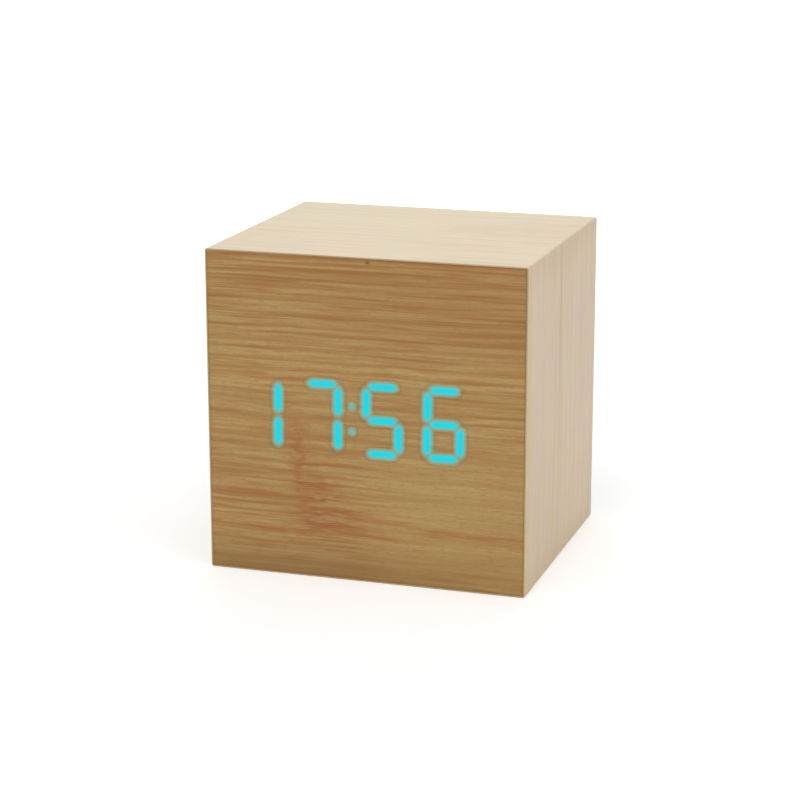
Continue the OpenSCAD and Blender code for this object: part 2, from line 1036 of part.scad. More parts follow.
front_veneer();
top_veneer();
bottom_veneer();
left_veneer();
right_veneer();
back_veneer();
front_board();
top_board();
bottom_board();
left_board();
right_board();
corner_blocks();
diffuser();
light_box();
display_board();
display_leds();
display_screws();
clock_chip();
driver_chip();
resistors();
crystal();
display_plug();
ribbon_cable();
control_plug();
control_board();
control_screws();
switch_housings();
buzzer();
microphone();
temperature_sensor();
usb_shell();
usb_tongue();
back_cover();
cover_screws();
contact_plates();
contact_springs();
battery_cells();
red_wire();
black_wire();
battery_door();
set_button();
set_plunger();
up_button();
up_plunger();
down_button();
down_plunger();
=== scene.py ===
import functools
import json
import math

import bmesh
import bpy
from mathutils import Matrix, Vector
from mathutils.geometry import delaunay_2d_cdt

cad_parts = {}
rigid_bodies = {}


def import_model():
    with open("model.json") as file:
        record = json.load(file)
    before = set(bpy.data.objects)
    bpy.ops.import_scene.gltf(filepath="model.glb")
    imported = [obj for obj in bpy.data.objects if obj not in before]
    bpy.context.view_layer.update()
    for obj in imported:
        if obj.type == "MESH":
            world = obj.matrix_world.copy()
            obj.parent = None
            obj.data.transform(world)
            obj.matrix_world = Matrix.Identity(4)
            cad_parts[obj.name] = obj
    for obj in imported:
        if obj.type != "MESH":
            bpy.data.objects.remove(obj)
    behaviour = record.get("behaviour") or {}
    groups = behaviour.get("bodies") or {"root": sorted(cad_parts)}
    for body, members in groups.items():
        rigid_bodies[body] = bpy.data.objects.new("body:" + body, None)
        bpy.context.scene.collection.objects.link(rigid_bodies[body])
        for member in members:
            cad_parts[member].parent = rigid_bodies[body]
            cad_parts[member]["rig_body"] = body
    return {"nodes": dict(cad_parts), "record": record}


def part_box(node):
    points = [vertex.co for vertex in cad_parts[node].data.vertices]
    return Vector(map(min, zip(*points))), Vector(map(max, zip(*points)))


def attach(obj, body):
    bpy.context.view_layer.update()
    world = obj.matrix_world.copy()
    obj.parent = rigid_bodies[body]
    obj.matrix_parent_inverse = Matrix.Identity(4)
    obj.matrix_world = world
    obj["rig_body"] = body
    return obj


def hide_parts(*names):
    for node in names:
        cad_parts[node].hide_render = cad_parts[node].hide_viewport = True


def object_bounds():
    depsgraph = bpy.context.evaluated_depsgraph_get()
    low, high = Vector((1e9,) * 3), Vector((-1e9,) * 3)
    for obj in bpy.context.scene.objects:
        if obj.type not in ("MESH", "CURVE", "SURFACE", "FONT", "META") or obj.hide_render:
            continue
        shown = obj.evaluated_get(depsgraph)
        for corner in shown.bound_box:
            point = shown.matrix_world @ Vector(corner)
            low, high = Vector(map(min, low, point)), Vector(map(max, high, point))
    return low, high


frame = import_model()
cad_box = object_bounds()
scene = bpy.context.scene

MM = 0.001

# Case, in millimetres
CASE_HALF = (cad_box[1].x - cad_box[0].x) / 2 / MM
CASE_MIDDLE = (cad_box[1].z - cad_box[0].z) / 2 / MM
CASE_FRONT = cad_box[0].y / MM

# Display, in millimetres and degrees: its shift from the middle of the diffuser, its turn and its digits.
# Its strokes lie at halves of a digit's width and quarters of its height. The lit ones show 17:56.
DISPLAY_SHIFT = (-0.25, -0.13)
DISPLAY_TILT = 0.95
DIGIT_LEAN = 1.75
DIGIT_PITCH = 11.8
DIGIT_W = 6.3
DIGIT_H = 12.8
DOT_PITCH = 4.8
BAR_HALF = 1.74
POST_HALF = 1.62
POST_BREADTH = 1.1
END_TAPER = 0.75
TIME_SHOWN = ("bc", "abc", "afgcd", "afgecd")
STROKES = {"a": (0, 2), "b": (1, 1), "c": (1, -1), "d": (0, -2), "e": (-1, -1), "f": (-1, 1), "g": (0, 0)}

# Light through the veneer, by the distance in millimetres from the middle line of a lit stroke
GLOW_FULL = 0.24
GLOW_END = 1.34
RIM_MIDDLE = 1.4
RIM_REACH = 0.34
GLOW_RINGS = (0.3, 0.6, 0.9, 1.2, 1.5, 1.9)
DOT_DIM = 0.62
DOT_SPREAD = 0.56
DOT_RINGS = (0.4, 0.8, 1.2, 1.7, 2.3)
DOT_STEPS = 16
UNLIT = 2.0

# Front veneer, in millimetres: the culm knot's ring where it would meet the underside, its lean and its ends.
# Streaks fan out of the ring: height, half thickness, length and rise for each. Long red streaks lie beside
# it: left end, right end, height and half thickness. One small dent is at the top edge.
KNOT_X = -11.2
KNOT_LEAN = -0.1
KNOT_FOOT = 7.5
KNOT_TOP = 34.0
KNOT_FANS = (
    (17.8, 2.2, 10.0, 0.04),
    (15.0, 1.1, 15.0, 0.09),
    (12.9, 1.4, 20.0, 0.02),
    (10.2, 2.1, 19.0, 0.0),
    (21.6, 0.7, 8.0, 0.06),
    (24.6, 0.7, 6.0, 0.0),
)
RED_STREAKS = (
    (-33.0, -15.0, 15.6, 1.0),
    (-33.0, -13.0, 9.4, 1.0),
    (-33.0, -16.0, 21.2, 0.8),
    (-6.0, 12.0, 12.2, 0.9),
    (10.0, 33.0, 10.9, 1.2),
    (-8.0, 8.0, 9.0, 0.9),
    (-26.0, -8.0, 38.4, 0.9),
    (-6.0, 8.0, 37.6, 0.7),
    (-33.0, 33.0, 61.2, 0.5),
)
STREAK_FADE = 4.0
DENT_X = 0.8
DENT_Z = 61.1
DENT_HALF_W = 0.8
DENT_HALF_H = 0.6
FRONT_CORNER = 0.2

# Pale veneer, in millimetres: grain, joint of two strips on the sides, and mitres of the back rim
GRAIN_LENGTH = 38.0
GRAIN_WIDTH = 0.85
PORE_SHARE = 0.16
JOINT_Y = -1.6
JOINT_SWAY = 1.2
JOINT_REACH = 1.7
MITRE_HALF = 0.16

# Edges, in millimetres
VENEER_EDGE = 0.18
SEAM_EDGE = 0.06
MOULDED_EDGE = 0.14
SMALL_EDGE = 0.08
METAL_EDGE = 0.05
LEG_EDGE = 0.03
STRIP_EDGE = 0.02

# Meshes: distances in millimetres under which points are one or lie on an edge, and angles in degrees
WELD = 0.001
CAD_WELD = 0.002
FRONT_WELD = 0.0001
EDGE_NEAR = 0.2
FACE_NEAR = 0.05
CAD_FLAT = 0.4
SHARP = 35.0
FRONT_SHARP = 30.0
TUBE_SHARP = 60.0

# Cells, in millimetres. Steps are measured in from the jacket, or out from the contact button.
CELL_LENGTH = 44.5
CELL_BUTTON_LENGTH = 1.0
CELL_BUTTON_R = 1.9
CELL_BUTTON_EDGE = (0.15, 0.2)
CELL_ROUND = 0.35
CELL_BEND = (0.1, 0.12)
CELL_END_STEP = 0.45
GROOVE_STEPS = (1.6, 1.3, 0.7)
GROOVE_DEPTH = 0.12
DISH_STEP = 0.9
DISH_DEPTH = 0.3
DISH_FLOOR = 0.7
DISH_FOOT = 0.15
BAND_SHARE = (0.76, 0.9)

# Springs, wires and ribbon, in millimetres
SPRING_LENGTH = 2.55
SPRING_TURNS = 2.5
SPRING_WIRE = 0.45
SPRING_NARROWING = 1.5
SPRING_STEPS = 90
CONTACT_T = 0.4
WIRE_R = 0.6
WIRE_LEAD = 5.0
RIBBON_T = 0.9
RIBBON_W = 7.2
RIBBON_CORES = 8
RIBBON_CORE_STEPS = 6
RIBBON_WEB = 0.62

# Raised signs, in millimetres. The wall of a sign is upright over a share of its height.
RELIEF_ROOT = 0.1
RELIEF_WALL = 0.7
RELIEF_CHAMFER = 0.06
TRIANGLE_CORNER = 0.28
BUTTON_ARROW = 1.35
BUTTON_SIGN_OUT = 0.16
BUTTON_RING_R = 1.25
BUTTON_RING_WALL = 0.36
LATCH_ARROW = 1.5
LATCH_ARROW_OUT = 0.2
LATCH_ARROW_DROP = 9.0
DOOR_T = 1.8
DIAGRAM_L = 32.0
DIAGRAM_H = 6.4
DIAGRAM_LINE = 0.4
DIAGRAM_OUT = 0.15
DIAGRAM_TIP = 0.8
DIAGRAM_SIGN = 2.4
DIAGRAM_SIGN_LINE = 0.5
DIAGRAM_SIGN_IN = 3.0
CELL_SIGN = 3.2
CELL_SIGN_LINE = 0.8
CELL_SIGN_OUT = 0.04

# Contact strips of the power socket and legs of the chips, in millimetres
STRIPS = 5
STRIP_PITCH = 0.85
STRIP_SIZE = (0.4, 2.2, 0.1)
STRIP_IN = 1.3
STRIP_RAISE = 0.05
CHIP_LEG = 1.0

# Camera, from the nine visible edges of the case
CAMERA_PLACE = (0.13117, -0.41493, 0.14245)
CAMERA_AZIMUTH = 17.7414
CAMERA_ELEVATION = 14.6552
CAMERA_ROLL = -0.0732
CAMERA_LENS = 103.549
CAMERA_CLIP = (0.01, 50.0)

# Light levels, the lamps as place and size in metres and power in watts, and the floor
AMBIENT = 0.5
FLOOR_LIFT = 0.36
FAR_LIFT = 0.8
LAMPS = {
    "overhead": ((0.1, -0.25, 0.9), 0.6, 2.2),
    "front": ((-0.2, -0.9, 0.35), 0.5, 1.0),
    "right": ((0.8, -0.3, 0.4), 0.5, 1.2),
    "behind": ((-0.3, 0.8, 0.5), 0.5, 1.2),
}
FLOOR_SIZE = 4.0
FLOOR_GAP = 0.02
FLOOR_FADE = (120.0, 500.0)


def srgb(*screen):
    """Screen values from 0 to 255 as the linear colour that nodes take."""
    shares = [value / 255 for value in screen]
    linear = [s / 12.92 if s <= 0.04045 else ((s + 0.055) / 1.055) ** 2.4 for s in shares]
    return (*linear, 1.0)


BLACK = (0, 0, 0)
WHITE = (255, 255, 255)
STREAK_RED = (176, 112, 67)


class Tree:
    """A node tree, built with short calls."""

    def __init__(self, node_tree):
        self.nodes = node_tree.nodes
        self.links = node_tree.links

    def add(self, kind, **settings):
        node = self.nodes.new("ShaderNode" + kind)
        for key, value in settings.items():
            setattr(node, key, value)
        return node

    def feed(self, socket, value):
        """Link a socket to an output, or set it to a plain value. Plain colours are screen values."""
        if isinstance(value, bpy.types.NodeSocket):
            self.links.new(value, socket)
        else:
            socket.default_value = srgb(*value) if socket.type == "RGBA" else value

    def fill(self, node, **values):
        """Feed the inputs of a node by their names, with _ for a space."""
        for name, value in values.items():
            self.feed(node.inputs[name.replace("_", " ")], value)

    def math(self, operation, *values):
        node = self.add("Math", operation=operation)
        for socket, value in zip(node.inputs, values):
            self.feed(socket, value)
        return node.outputs[0]

    def seen(self):
        """1 for rays from the camera, mirrored ones too, and 0 for light on the object."""
        path = self.add("LightPath").outputs
        mirrored = self.math("MAXIMUM", path["Is Glossy Ray"], path["Is Transmission Ray"])
        return self.math("MAXIMUM", path["Is Camera Ray"], mirrored)


class Graph(Tree):
    """One material's node tree. Lengths in it are millimetres."""

    # Sockets of a Mix node for colours, and noise values between which roughness varies
    MIX_IN, MIX_OUT = (0, 6, 7), 2
    UNEVEN = (0.3, 0.7)

    def __init__(self, name):
        self.material = bpy.data.materials.new(name)
        self.material.use_nodes = True
        super().__init__(self.material.node_tree)
        self.shader = self.nodes["Principled BSDF"]
        coordinates = self.add("TexCoord")
        scaled = self.add("VectorMath", operation="SCALE")
        self.fill(scaled, Vector=coordinates.outputs["Object"], Scale=1 / MM)
        self.place = scaled.outputs[0]
        self.facing = coordinates.outputs["Normal"]

    def attribute(self, name):
        return self.add("Attribute", attribute_name=name).outputs["Fac"]

    def split(self, vector=None):
        node = self.add("SeparateXYZ")
        self.feed(node.inputs[0], vector or self.place)
        return node.outputs

    def join(self, x, y, z):
        node = self.add("CombineXYZ")
        self.fill(node, X=x, Y=y, Z=z)
        return node.outputs[0]

    def noise(self, size, detail=2.0, roughness=0.5, distortion=0.0, place=None):
        """Noise from 0 to 1 whose lumps are about size = (x, y, z) across."""
        scaled = self.add("VectorMath", operation="DIVIDE")
        self.feed(scaled.inputs[0], place or self.place)
        self.feed(scaled.inputs[1], size)
        node = self.add("TexNoise")
        self.fill(node, Vector=scaled.outputs[0], Scale=1.0)
        self.fill(node, Detail=detail, Roughness=roughness, Distortion=distortion)
        return node.outputs[0]

    def band(self, value, low, high, start=0.0, end=1.0):
        """Rise smoothly from start to end as value goes from low to high."""
        node = self.add("MapRange", interpolation_type="SMOOTHSTEP")
        self.fill(node, Value=value, From_Min=low, From_Max=high, To_Min=start, To_Max=end)
        return node.outputs[0]

    def times(self, *shares):
        """Product of shares."""
        product = shares[0]
        for share in shares[1:]:
            product = self.math("MULTIPLY", product, share)
        return product

    def swing(self, size, width):
        """Noise about 0 that spans about width."""
        return self.times(self.math("SUBTRACT", self.noise(size, detail=1.0), 0.5), width)

    def apart(self, value, middle):
        """Distance of a value from a middle."""
        return self.math("ABSOLUTE", self.math("SUBTRACT", value, middle))

    def hump(self, value, middle, reach):
        """1 at the middle, falling smoothly to 0 at reach on both sides."""
        return self.band(self.apart(value, middle), 0.0, reach, 1.0, 0.0)

    def mix(self, share, first, second):
        """Go from the first colour or vector to the second as share goes from 0 to 1."""
        node = self.add("Mix", data_type="RGBA")
        for socket, value in zip(self.MIX_IN, (share, first, second)):
            self.feed(node.inputs[socket], value)
        return node.outputs[self.MIX_OUT]

    def bump(self, height, depth, strength):
        """Surface relief of about depth millimetres."""
        node = self.add("Bump")
        self.fill(node, Height=height, Distance=depth * MM, Strength=strength)
        self.feed(self.shader.inputs["Normal"], node.outputs[0])

    def finish(self, colour, uneven, rough, metallic=0.0, specular=0.5):
        """Set the surface. Its roughness goes from one end of rough to the other with an uneven value."""
        roughness = self.band(uneven, *self.UNEVEN, *rough)
        self.fill(self.shader, Base_Color=colour, Roughness=roughness, Metallic=metallic)
        self.fill(self.shader, Specular_IOR_Level=specular)
        return self.material


class BambooGraph(Graph):
    """The front veneer. Its grain runs level, with a slight sway and with ripples beside the knot."""

    def __init__(self):
        super().__init__("bamboo_veneer")
        self.x, self.y, self.z = self.split()
        ring_x = self.math("MULTIPLY_ADD", self.z, KNOT_LEAN, KNOT_X)
        self.from_ring = self.math("SUBTRACT", self.x, ring_x)
        knot_low = self.band(self.z, KNOT_FOOT - 1.0, KNOT_FOOT + 2.0)
        self.in_knot = self.times(knot_low, self.band(self.z, KNOT_TOP, KNOT_TOP - 7.0))
        sway = self.swing((24.0, 30.0, 16.0), 1.1)
        ripple = self.swing((3.4, 9.0, 2.0), 1.2)
        beside = self.times(self.hump(self.from_ring, 3.0, 10.0), self.in_knot)
        self.bent = self.math("ADD", self.z, self.math("MULTIPLY_ADD", ripple, beside, sway))

    def streaks(self, length, thickness, shift, detail=2.0):
        """Noise drawn out along the grain, another one for each shift."""
        place = self.join(self.math("ADD", self.x, shift), self.y, self.bent)
        return self.noise((length, 9.0, thickness), detail, roughness=0.55, place=place)


def bamboo_ground(g, dash, fibre):
    """Ochre wood, with streaks densest near the top and beside the knot and sparse at the lower right."""
    x, z = g.x, g.z
    pale, ochre, honey = (200, 172, 114), (194, 162, 104), (186, 150, 93)
    umber, brown, painted_foot_shade = (160, 106, 60), (158, 117, 68), (146, 112, 66)
    sheaf = g.streaks(60.0, 3.6, shift=0.0)
    line = g.streaks(60.0, 0.88, shift=41.0, detail=1.0)
    gloss = g.streaks(14.0, 0.7, shift=83.0)
    thread = g.streaks(40.0, 0.62, shift=71.0, detail=1.0)
    pores = g.streaks(1.3, 0.36, shift=57.0, detail=1.0)

    upper = g.band(z, 42.0, 51.0)
    calm = g.times(g.band(x, -3.0, 8.0), g.band(z, 28.0, 23.0), g.band(z, 2.0, 5.0))
    lower_left = g.times(g.band(x, 4.0, -4.0), g.band(z, 4.0, 8.0), g.band(z, 24.0, 18.0))
    strength = g.math("MULTIPLY_ADD", upper, 0.04, 0.72)
    strength = g.math("MULTIPLY_ADD", calm, -0.45, strength)
    strength = g.math("MULTIPLY_ADD", lower_left, 0.2, strength)
    honey_share = g.times(g.band(sheaf, 0.36, 0.64), g.math("MULTIPLY_ADD", upper, -0.5, 1.0))
    pale_share = g.times(g.band(gloss, 0.5, 0.7), g.math("MULTIPLY_ADD", upper, -0.3, 0.6))

    wood = g.mix(honey_share, ochre, honey)
    wood = g.mix(pale_share, wood, pale)
    wood = g.mix(g.times(upper, g.band(x, -20.0, 12.0, 0.06, 0.26)), wood, umber)
    wood = g.mix(g.times(upper, g.band(thread, 0.5, 0.62), 0.62), wood, umber)
    wood = g.mix(g.times(g.band(dash, 0.44, 0.7), strength, 0.75), wood, STREAK_RED)
    wood = g.mix(g.times(g.band(line, 0.42, 0.68), strength, 0.6), wood, umber)
    wood = g.mix(g.band(fibre, 0.5, 0.75, 0.0, 0.22), wood, brown)
    wood = g.mix(g.band(pores, 0.46, 0.72, 0.0, 0.26), wood, brown)
    # Painted shade: darker towards the foot of the front, most at the left.
    low = g.times(g.band(z, 10.0, 0.0), g.band(x, 24.0, -20.0, 0.3, 0.62))
    return g.mix(low, wood, painted_foot_shade)


def with_knot(g, wood):
    """Culm knot: a wide soft ring and streaks that fan out of it. Long red streaks lie beside it."""
    ring_red, fan_red = (178, 108, 66), (168, 100, 59)
    off_ring = g.math("ADD", g.from_ring, g.swing((9.0, 9.0, 2.8), 5.0))
    haze = g.times(g.hump(off_ring, 1.0, 6.0), g.in_knot, 0.16)
    wood = g.mix(haze, wood, STREAK_RED)
    clumps = g.band(g.noise((1.8, 9.0, 0.8)), 0.38, 0.6)
    fade = g.band(g.z, 13.0, 22.0, 0.6, 0.75)
    wood = g.mix(g.times(g.hump(off_ring, 0.4, 3.0), g.in_knot, clumps, fade), wood, ring_red)
    broken = g.band(g.streaks(5.5, 0.44, shift=17.0), 0.4, 0.56)
    for height, thickness, length, rise in KNOT_FANS:
        level = g.math("MULTIPLY_ADD", g.from_ring, -rise, g.bent)
        ends = g.hump(g.from_ring, 0.3 * length, 0.7 * length)
        wood = g.mix(g.times(g.hump(level, height, thickness), ends, broken, 0.85), wood, fan_red)
    worn = g.band(g.streaks(7.0, 0.5, shift=29.0), 0.34, 0.54)
    for left, right, height, thickness in RED_STREAKS:
        left_end = g.band(g.x, left, left + STREAK_FADE)
        ends = g.times(left_end, g.band(g.x, right, right - STREAK_FADE))
        streak = g.times(g.hump(g.bent, height, thickness), ends, worn, 0.62)
        wood = g.mix(streak, wood, STREAK_RED)
    return wood


def with_painted_edge_shade(g, wood):
    """Painted shade: the sheet is darker towards its edges, where it meets the side veneers."""
    in_x = g.math("SUBTRACT", CASE_HALF, g.math("ABSOLUTE", g.x))
    in_z = g.math("SUBTRACT", CASE_MIDDLE, g.apart(g.z, CASE_MIDDLE))
    edge = g.band(g.math("MINIMUM", in_x, in_z), 0.8, 0.1, 0.0, 0.55)
    return g.mix(edge, wood, (124, 86, 50))


def bamboo_veneer():
    """Ochre bamboo with level red streaks and one culm knot, lit by the strokes behind it."""
    g = BambooGraph()
    dash = g.streaks(13.0, 0.78, shift=11.0)
    fibre = g.streaks(4.0, 0.24, shift=7.0, detail=1.0)
    dent = g.times(g.hump(g.x, DENT_X, DENT_HALF_W), g.hump(g.z, DENT_Z, DENT_HALF_H))
    # Painted shade darkens the sheet towards its edges.
    wood = with_painted_edge_shade(g, with_knot(g, bamboo_ground(g, dash, fibre)))
    wood = g.mix(g.times(dent, 0.75), wood, (116, 72, 36))

    # Light behind the veneer: bright cyan, paler towards the rim, with darker wood just outside
    reach = g.attribute("reach")
    glow = g.band(reach, GLOW_END, GLOW_FULL)
    rim = g.hump(reach, RIM_MIDDLE, RIM_REACH)
    wood = g.mix(g.times(rim, 0.3), wood, (138, 124, 84))
    light = g.mix(g.times(glow, glow), (46, 206, 190), (2, 212, 230))
    g.fill(g.shader, Emission_Color=g.mix(glow, BLACK, light), Emission_Strength=1.0)
    g.bump(g.math("SUBTRACT", g.math("ADD", fibre, dash), dent), 0.02, 0.5)
    return g.finish(g.mix(glow, wood, BLACK), dash, (0.48, 0.6), specular=0.2)


def maple(run):
    """Pale veneer with a faint straight grain that runs level, upright or along the back rim."""
    g = Graph(f"maple_{run}")
    x, y, z = g.split()
    aside, above = g.math("ABSOLUTE", x), g.apart(z, CASE_MIDDLE)
    size, place = (GRAIN_LENGTH, GRAIN_WIDTH, GRAIN_WIDTH), g.place
    light, dark, rosy = (229, 215, 182), (226, 209, 175), (230, 212, 188)
    if run == "upright":
        size = (GRAIN_WIDTH, GRAIN_WIDTH, GRAIN_LENGTH)
        light, dark, rosy = (230, 211, 181), (226, 204, 173), (229, 205, 187)
    if run == "rim":
        upright = g.math("GREATER_THAN", aside, above)
        place = g.mix(upright, g.place, g.join(z, y, x))
    grain = g.noise(size, place=place)
    pores = g.noise(tuple(PORE_SHARE * s for s in size), detail=1.0, place=place)
    cloud = g.noise((24.0, 24.0, 24.0), place=place)
    blush = g.noise((4.0, 4.0, 7.0), roughness=0.6, place=place)
    wood = g.mix(g.band(cloud, 0.3, 0.7), light, dark)
    wood = g.mix(g.band(blush, 0.4, 0.62, 0.0, 0.6), wood, rosy)
    wood = g.mix(g.band(grain, 0.42, 0.72, 0.0, 0.4), wood, (215, 195, 162))
    wood = g.mix(g.band(pores, 0.58, 0.72, 0.0, 0.22), wood, (200, 177, 142))
    if run == "upright":
        # Two strips meet here. The sheet is yellower at the front and darker at the top and the foot.
        joint = g.hump(g.math("ADD", y, g.times(cloud, JOINT_SWAY)), JOINT_Y, JOINT_REACH)
        wood = g.mix(g.times(joint, g.band(z, 24.0, 50.0, 0.1, 0.6)), wood, (208, 184, 148))
        wood = g.mix(g.band(y, CASE_FRONT + 5.0, CASE_FRONT + 0.4, 0.0, 0.5), wood, (224, 202, 152))
        wood = g.mix(g.band(above, CASE_MIDDLE - 7.0, CASE_MIDDLE, 0.0, 0.35), wood, (210, 188, 152))
    if run == "rim":
        mitre = g.hump(g.math("SUBTRACT", aside, above), 0.0, MITRE_HALF)
        wood = g.mix(g.times(mitre, 0.6), wood, (150, 124, 84))
    else:
        cut = g.math("ABSOLUTE", g.split(g.facing)[1])
        end_grain = g.mix(grain, (206, 184, 136), (186, 158, 110))
        wood = g.mix(g.band(cut, 0.6, 0.9), wood, end_grain)
    g.bump(g.math("ADD", grain, pores), 0.015, 0.4)
    return g.finish(wood, grain, (0.5, 0.62), specular=0.25)


def fibreboard():
    """Board of pressed wood fibre: tan, with pale and dark short fibres."""
    g = Graph("fibreboard")
    clump = g.noise((1.6, 1.6, 1.6), detail=3.0, roughness=0.7)
    hair = g.noise((0.9, 0.25, 0.25), distortion=1.2)
    board = g.mix(g.band(clump, 0.35, 0.65), (176, 138, 98), (150, 112, 76))
    board = g.mix(g.band(hair, 0.56, 0.7, 0.0, 0.6), board, (112, 80, 52))
    g.bump(hair, 0.06, 0.6)
    return g.finish(board, clump, (0.78, 0.92), specular=0.2)


def pine_block():
    """Soft wood with growth lines along the depth."""
    g = Graph("pine_block")
    lines = g.noise((0.7, 26.0, 0.9))
    wood = g.mix(g.band(lines, 0.35, 0.68), (222, 188, 138), (182, 132, 82))
    g.bump(lines, 0.03, 0.5)
    return g.finish(wood, lines, (0.6, 0.72), specular=0.3)


def moulded(name, dark, light, rough=(0.42, 0.58), pebble=0.22, depth=0.02):
    """Moulded plastic with a fine eroded texture and faint uneven shine."""
    g = Graph(name)
    fine = g.noise((pebble, pebble, pebble), roughness=0.6)
    cloud = g.noise((9.0, 9.0, 9.0))
    tone = g.math("ADD", g.times(fine, 0.6), g.times(cloud, 0.4))
    g.bump(fine, depth, 0.6)
    return g.finish(g.mix(g.band(tone, 0.36, 0.64), dark, light), cloud, rough, specular=0.45)


def metal(name, dark, light, rough=(0.22, 0.4), run=(6.0, 0.12, 0.12)):
    """Rolled or plated metal with fine lines along its length."""
    g = Graph(name)
    lines = g.noise(run, detail=3.0, roughness=0.6)
    cloud = g.noise((2.5, 2.5, 2.5))
    tone = g.math("ADD", g.times(lines, 0.5), g.times(cloud, 0.5))
    g.bump(lines, 0.006, 0.4)
    return g.finish(g.mix(g.band(tone, 0.35, 0.65), dark, light), cloud, rough, metallic=1.0)


def circuit_board():
    """Green lacquered board with copper tracks and pads showing through the lacquer."""
    g = Graph("circuit_board")
    x, _, z = g.split()
    sheet = g.join(x, z, 0.0)
    cells = g.add("TexBrick", offset=0.35, squash=0.7)
    g.fill(cells, Vector=sheet, Scale=0.4, Brick_Width=1.7, Row_Height=0.62)
    g.fill(cells, Mortar_Size=0.07, Mortar_Smooth=0.1)
    tracks = cells.outputs["Fac"]
    pads = g.add("TexVoronoi", feature="DISTANCE_TO_EDGE")
    g.fill(pads, Vector=sheet, Scale=0.55)
    via = g.band(pads.outputs[0], 0.34, 0.42)
    weave = g.noise((0.5, 0.5, 0.5), detail=1.0)
    lacquer = g.mix(g.band(weave, 0.35, 0.65), (18, 84, 46), (24, 96, 54))
    lacquer = g.mix(g.times(tracks, 0.75), lacquer, (48, 132, 74))
    lacquer = g.mix(g.times(via, 0.8), lacquer, (186, 178, 150))
    edge = g.math("LESS_THAN", g.math("ABSOLUTE", g.split(g.facing)[1]), 0.5)
    lacquer = g.mix(edge, lacquer, (170, 158, 104))
    g.bump(g.math("ADD", tracks, via), 0.03, 0.5)
    return g.finish(lacquer, weave, (0.28, 0.4))


def ribbon_plastic():
    """Grey ribbed ribbon with one red marked core."""
    g = Graph("ribbon_plastic")
    haze = g.noise((1.5, 6.0, 6.0))
    grey = g.mix(g.band(haze, 0.35, 0.65), (172, 172, 170), (154, 155, 156))
    first = g.math("LESS_THAN", g.split()[0], RIBBON_W / RIBBON_CORES - RIBBON_W / 2)
    return g.finish(g.mix(first, grey, (178, 40, 36)), haze, (0.4, 0.52), specular=0.45)


def cell_can():
    """Shrink film of a cell: pearl grey with one blue band, and faint wrapping lines."""
    g = Graph("cell_can")
    scuff = g.noise((7.0, 0.4, 0.4), detail=3.0, roughness=0.6)
    wear = g.band(scuff, 0.38, 0.7)
    film = g.mix(wear, (196, 200, 203), (176, 181, 186))
    blue = g.mix(wear, (38, 92, 150), (30, 78, 132))
    on_band = g.math("GREATER_THAN", g.attribute("band"), 0.5)
    g.bump(scuff, 0.01, 0.4)
    return g.finish(g.mix(on_band, film, blue), scuff, (0.26, 0.4))


PLASTICS = {
    "diffuser_film": dict(dark=(226, 230, 230), light=(238, 241, 240), rough=(0.5, 0.62), depth=0.006),
    "white_plastic": dict(dark=(226, 226, 222), light=(238, 238, 234), rough=(0.4, 0.55)),
    "led": dict(dark=(236, 232, 196), light=(246, 244, 222), rough=(0.2, 0.32), depth=0.004),
    "chip_black": dict(dark=(30, 30, 32), light=(44, 44, 46), rough=(0.5, 0.66), pebble=0.12),
    "plug_plastic": dict(dark=(224, 214, 186), light=(236, 228, 204)),
    "cover_plastic": dict(
        dark=(27, 27, 28), light=(40, 40, 42), rough=(0.48, 0.62), pebble=0.26, depth=0.03),
    "button_plastic": dict(
        dark=(52, 53, 55), light=(66, 67, 69), rough=(0.34, 0.46), pebble=0.18, depth=0.012),
    "plunger_plastic": dict(dark=(198, 70, 54), light=(214, 84, 66), rough=(0.36, 0.5)),
    "wire_red": dict(dark=(176, 28, 26), light=(196, 40, 34), rough=(0.34, 0.46), pebble=0.5, depth=0.01),
    "wire_black": dict(dark=(24, 24, 25), light=(38, 38, 40), rough=(0.34, 0.46), pebble=0.5, depth=0.01),
    "mark": dict(dark=(206, 206, 202), light=(222, 222, 218), rough=(0.45, 0.6), pebble=0.16, depth=0.008),
}
METALS = {
    "steel": dict(dark=(186, 184, 178), light=(212, 210, 204), rough=(0.32, 0.48)),
    "mic_can": dict(dark=(196, 154, 82), light=(226, 188, 116)),
    "black_screw": dict(dark=(58, 58, 60), light=(84, 84, 86), rough=(0.3, 0.46), run=(0.5, 0.5, 0.5)),
}
MAKERS = (bamboo_veneer, fibreboard, pine_block, circuit_board, ribbon_plastic, cell_can)
MATERIALS = {make.__name__: make() for make in MAKERS}
MATERIALS.update((f"maple_{run}", maple(run)) for run in ("level", "upright", "rim"))
MATERIALS.update((name, moulded(name, **look)) for name, look in PLASTICS.items())
MATERIALS.update((name, metal(name, **look)) for name, look in METALS.items())


def put(name, data):
    """An object of the scene with the given data."""
    made = bpy.data.objects.new(name, data)
    scene.collection.objects.link(made)
    return made


def slot_of(node):
    return next(part["material_slot"] for part in frame["record"]["subparts"] if part["node"] == node)


def middle_of(node):
    lo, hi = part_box(node)
    return (lo + hi) / 2


def back_middle(node):
    """Middle of the back of a node's box."""
    lo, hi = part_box(node)
    return Vector(((lo.x + hi.x) / 2, hi.y, (lo.z + hi.z) / 2))


def mesh_from(bm, name, sharp=SHARP):
    """A mesh that shades smoothly where its faces meet at less than the sharp angle."""
    bmesh.ops.recalc_face_normals(bm, faces=bm.faces)
    for face in bm.faces:
        face.smooth = True
    for edge in bm.edges:
        edge.smooth = len(edge.link_faces) == 2 and edge.calc_face_angle() < math.radians(sharp)
    mesh = bpy.data.meshes.new(name)
    bm.to_mesh(mesh)
    bm.free()
    return mesh


def add_piece(name, bm, node, materials=None, replaced=True, sharp=SHARP):
    """A piece made of a bmesh, which rides with a CAD node. It takes the node's place or is added to it."""
    mesh = mesh_from(bm, name, sharp)
    piece = put(name, mesh)
    for material in materials or [slot_of(node)]:
        mesh.materials.append(MATERIALS[material])
    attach(piece, frame["nodes"][node]["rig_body"])
    if replaced:
        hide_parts(node)
    return piece


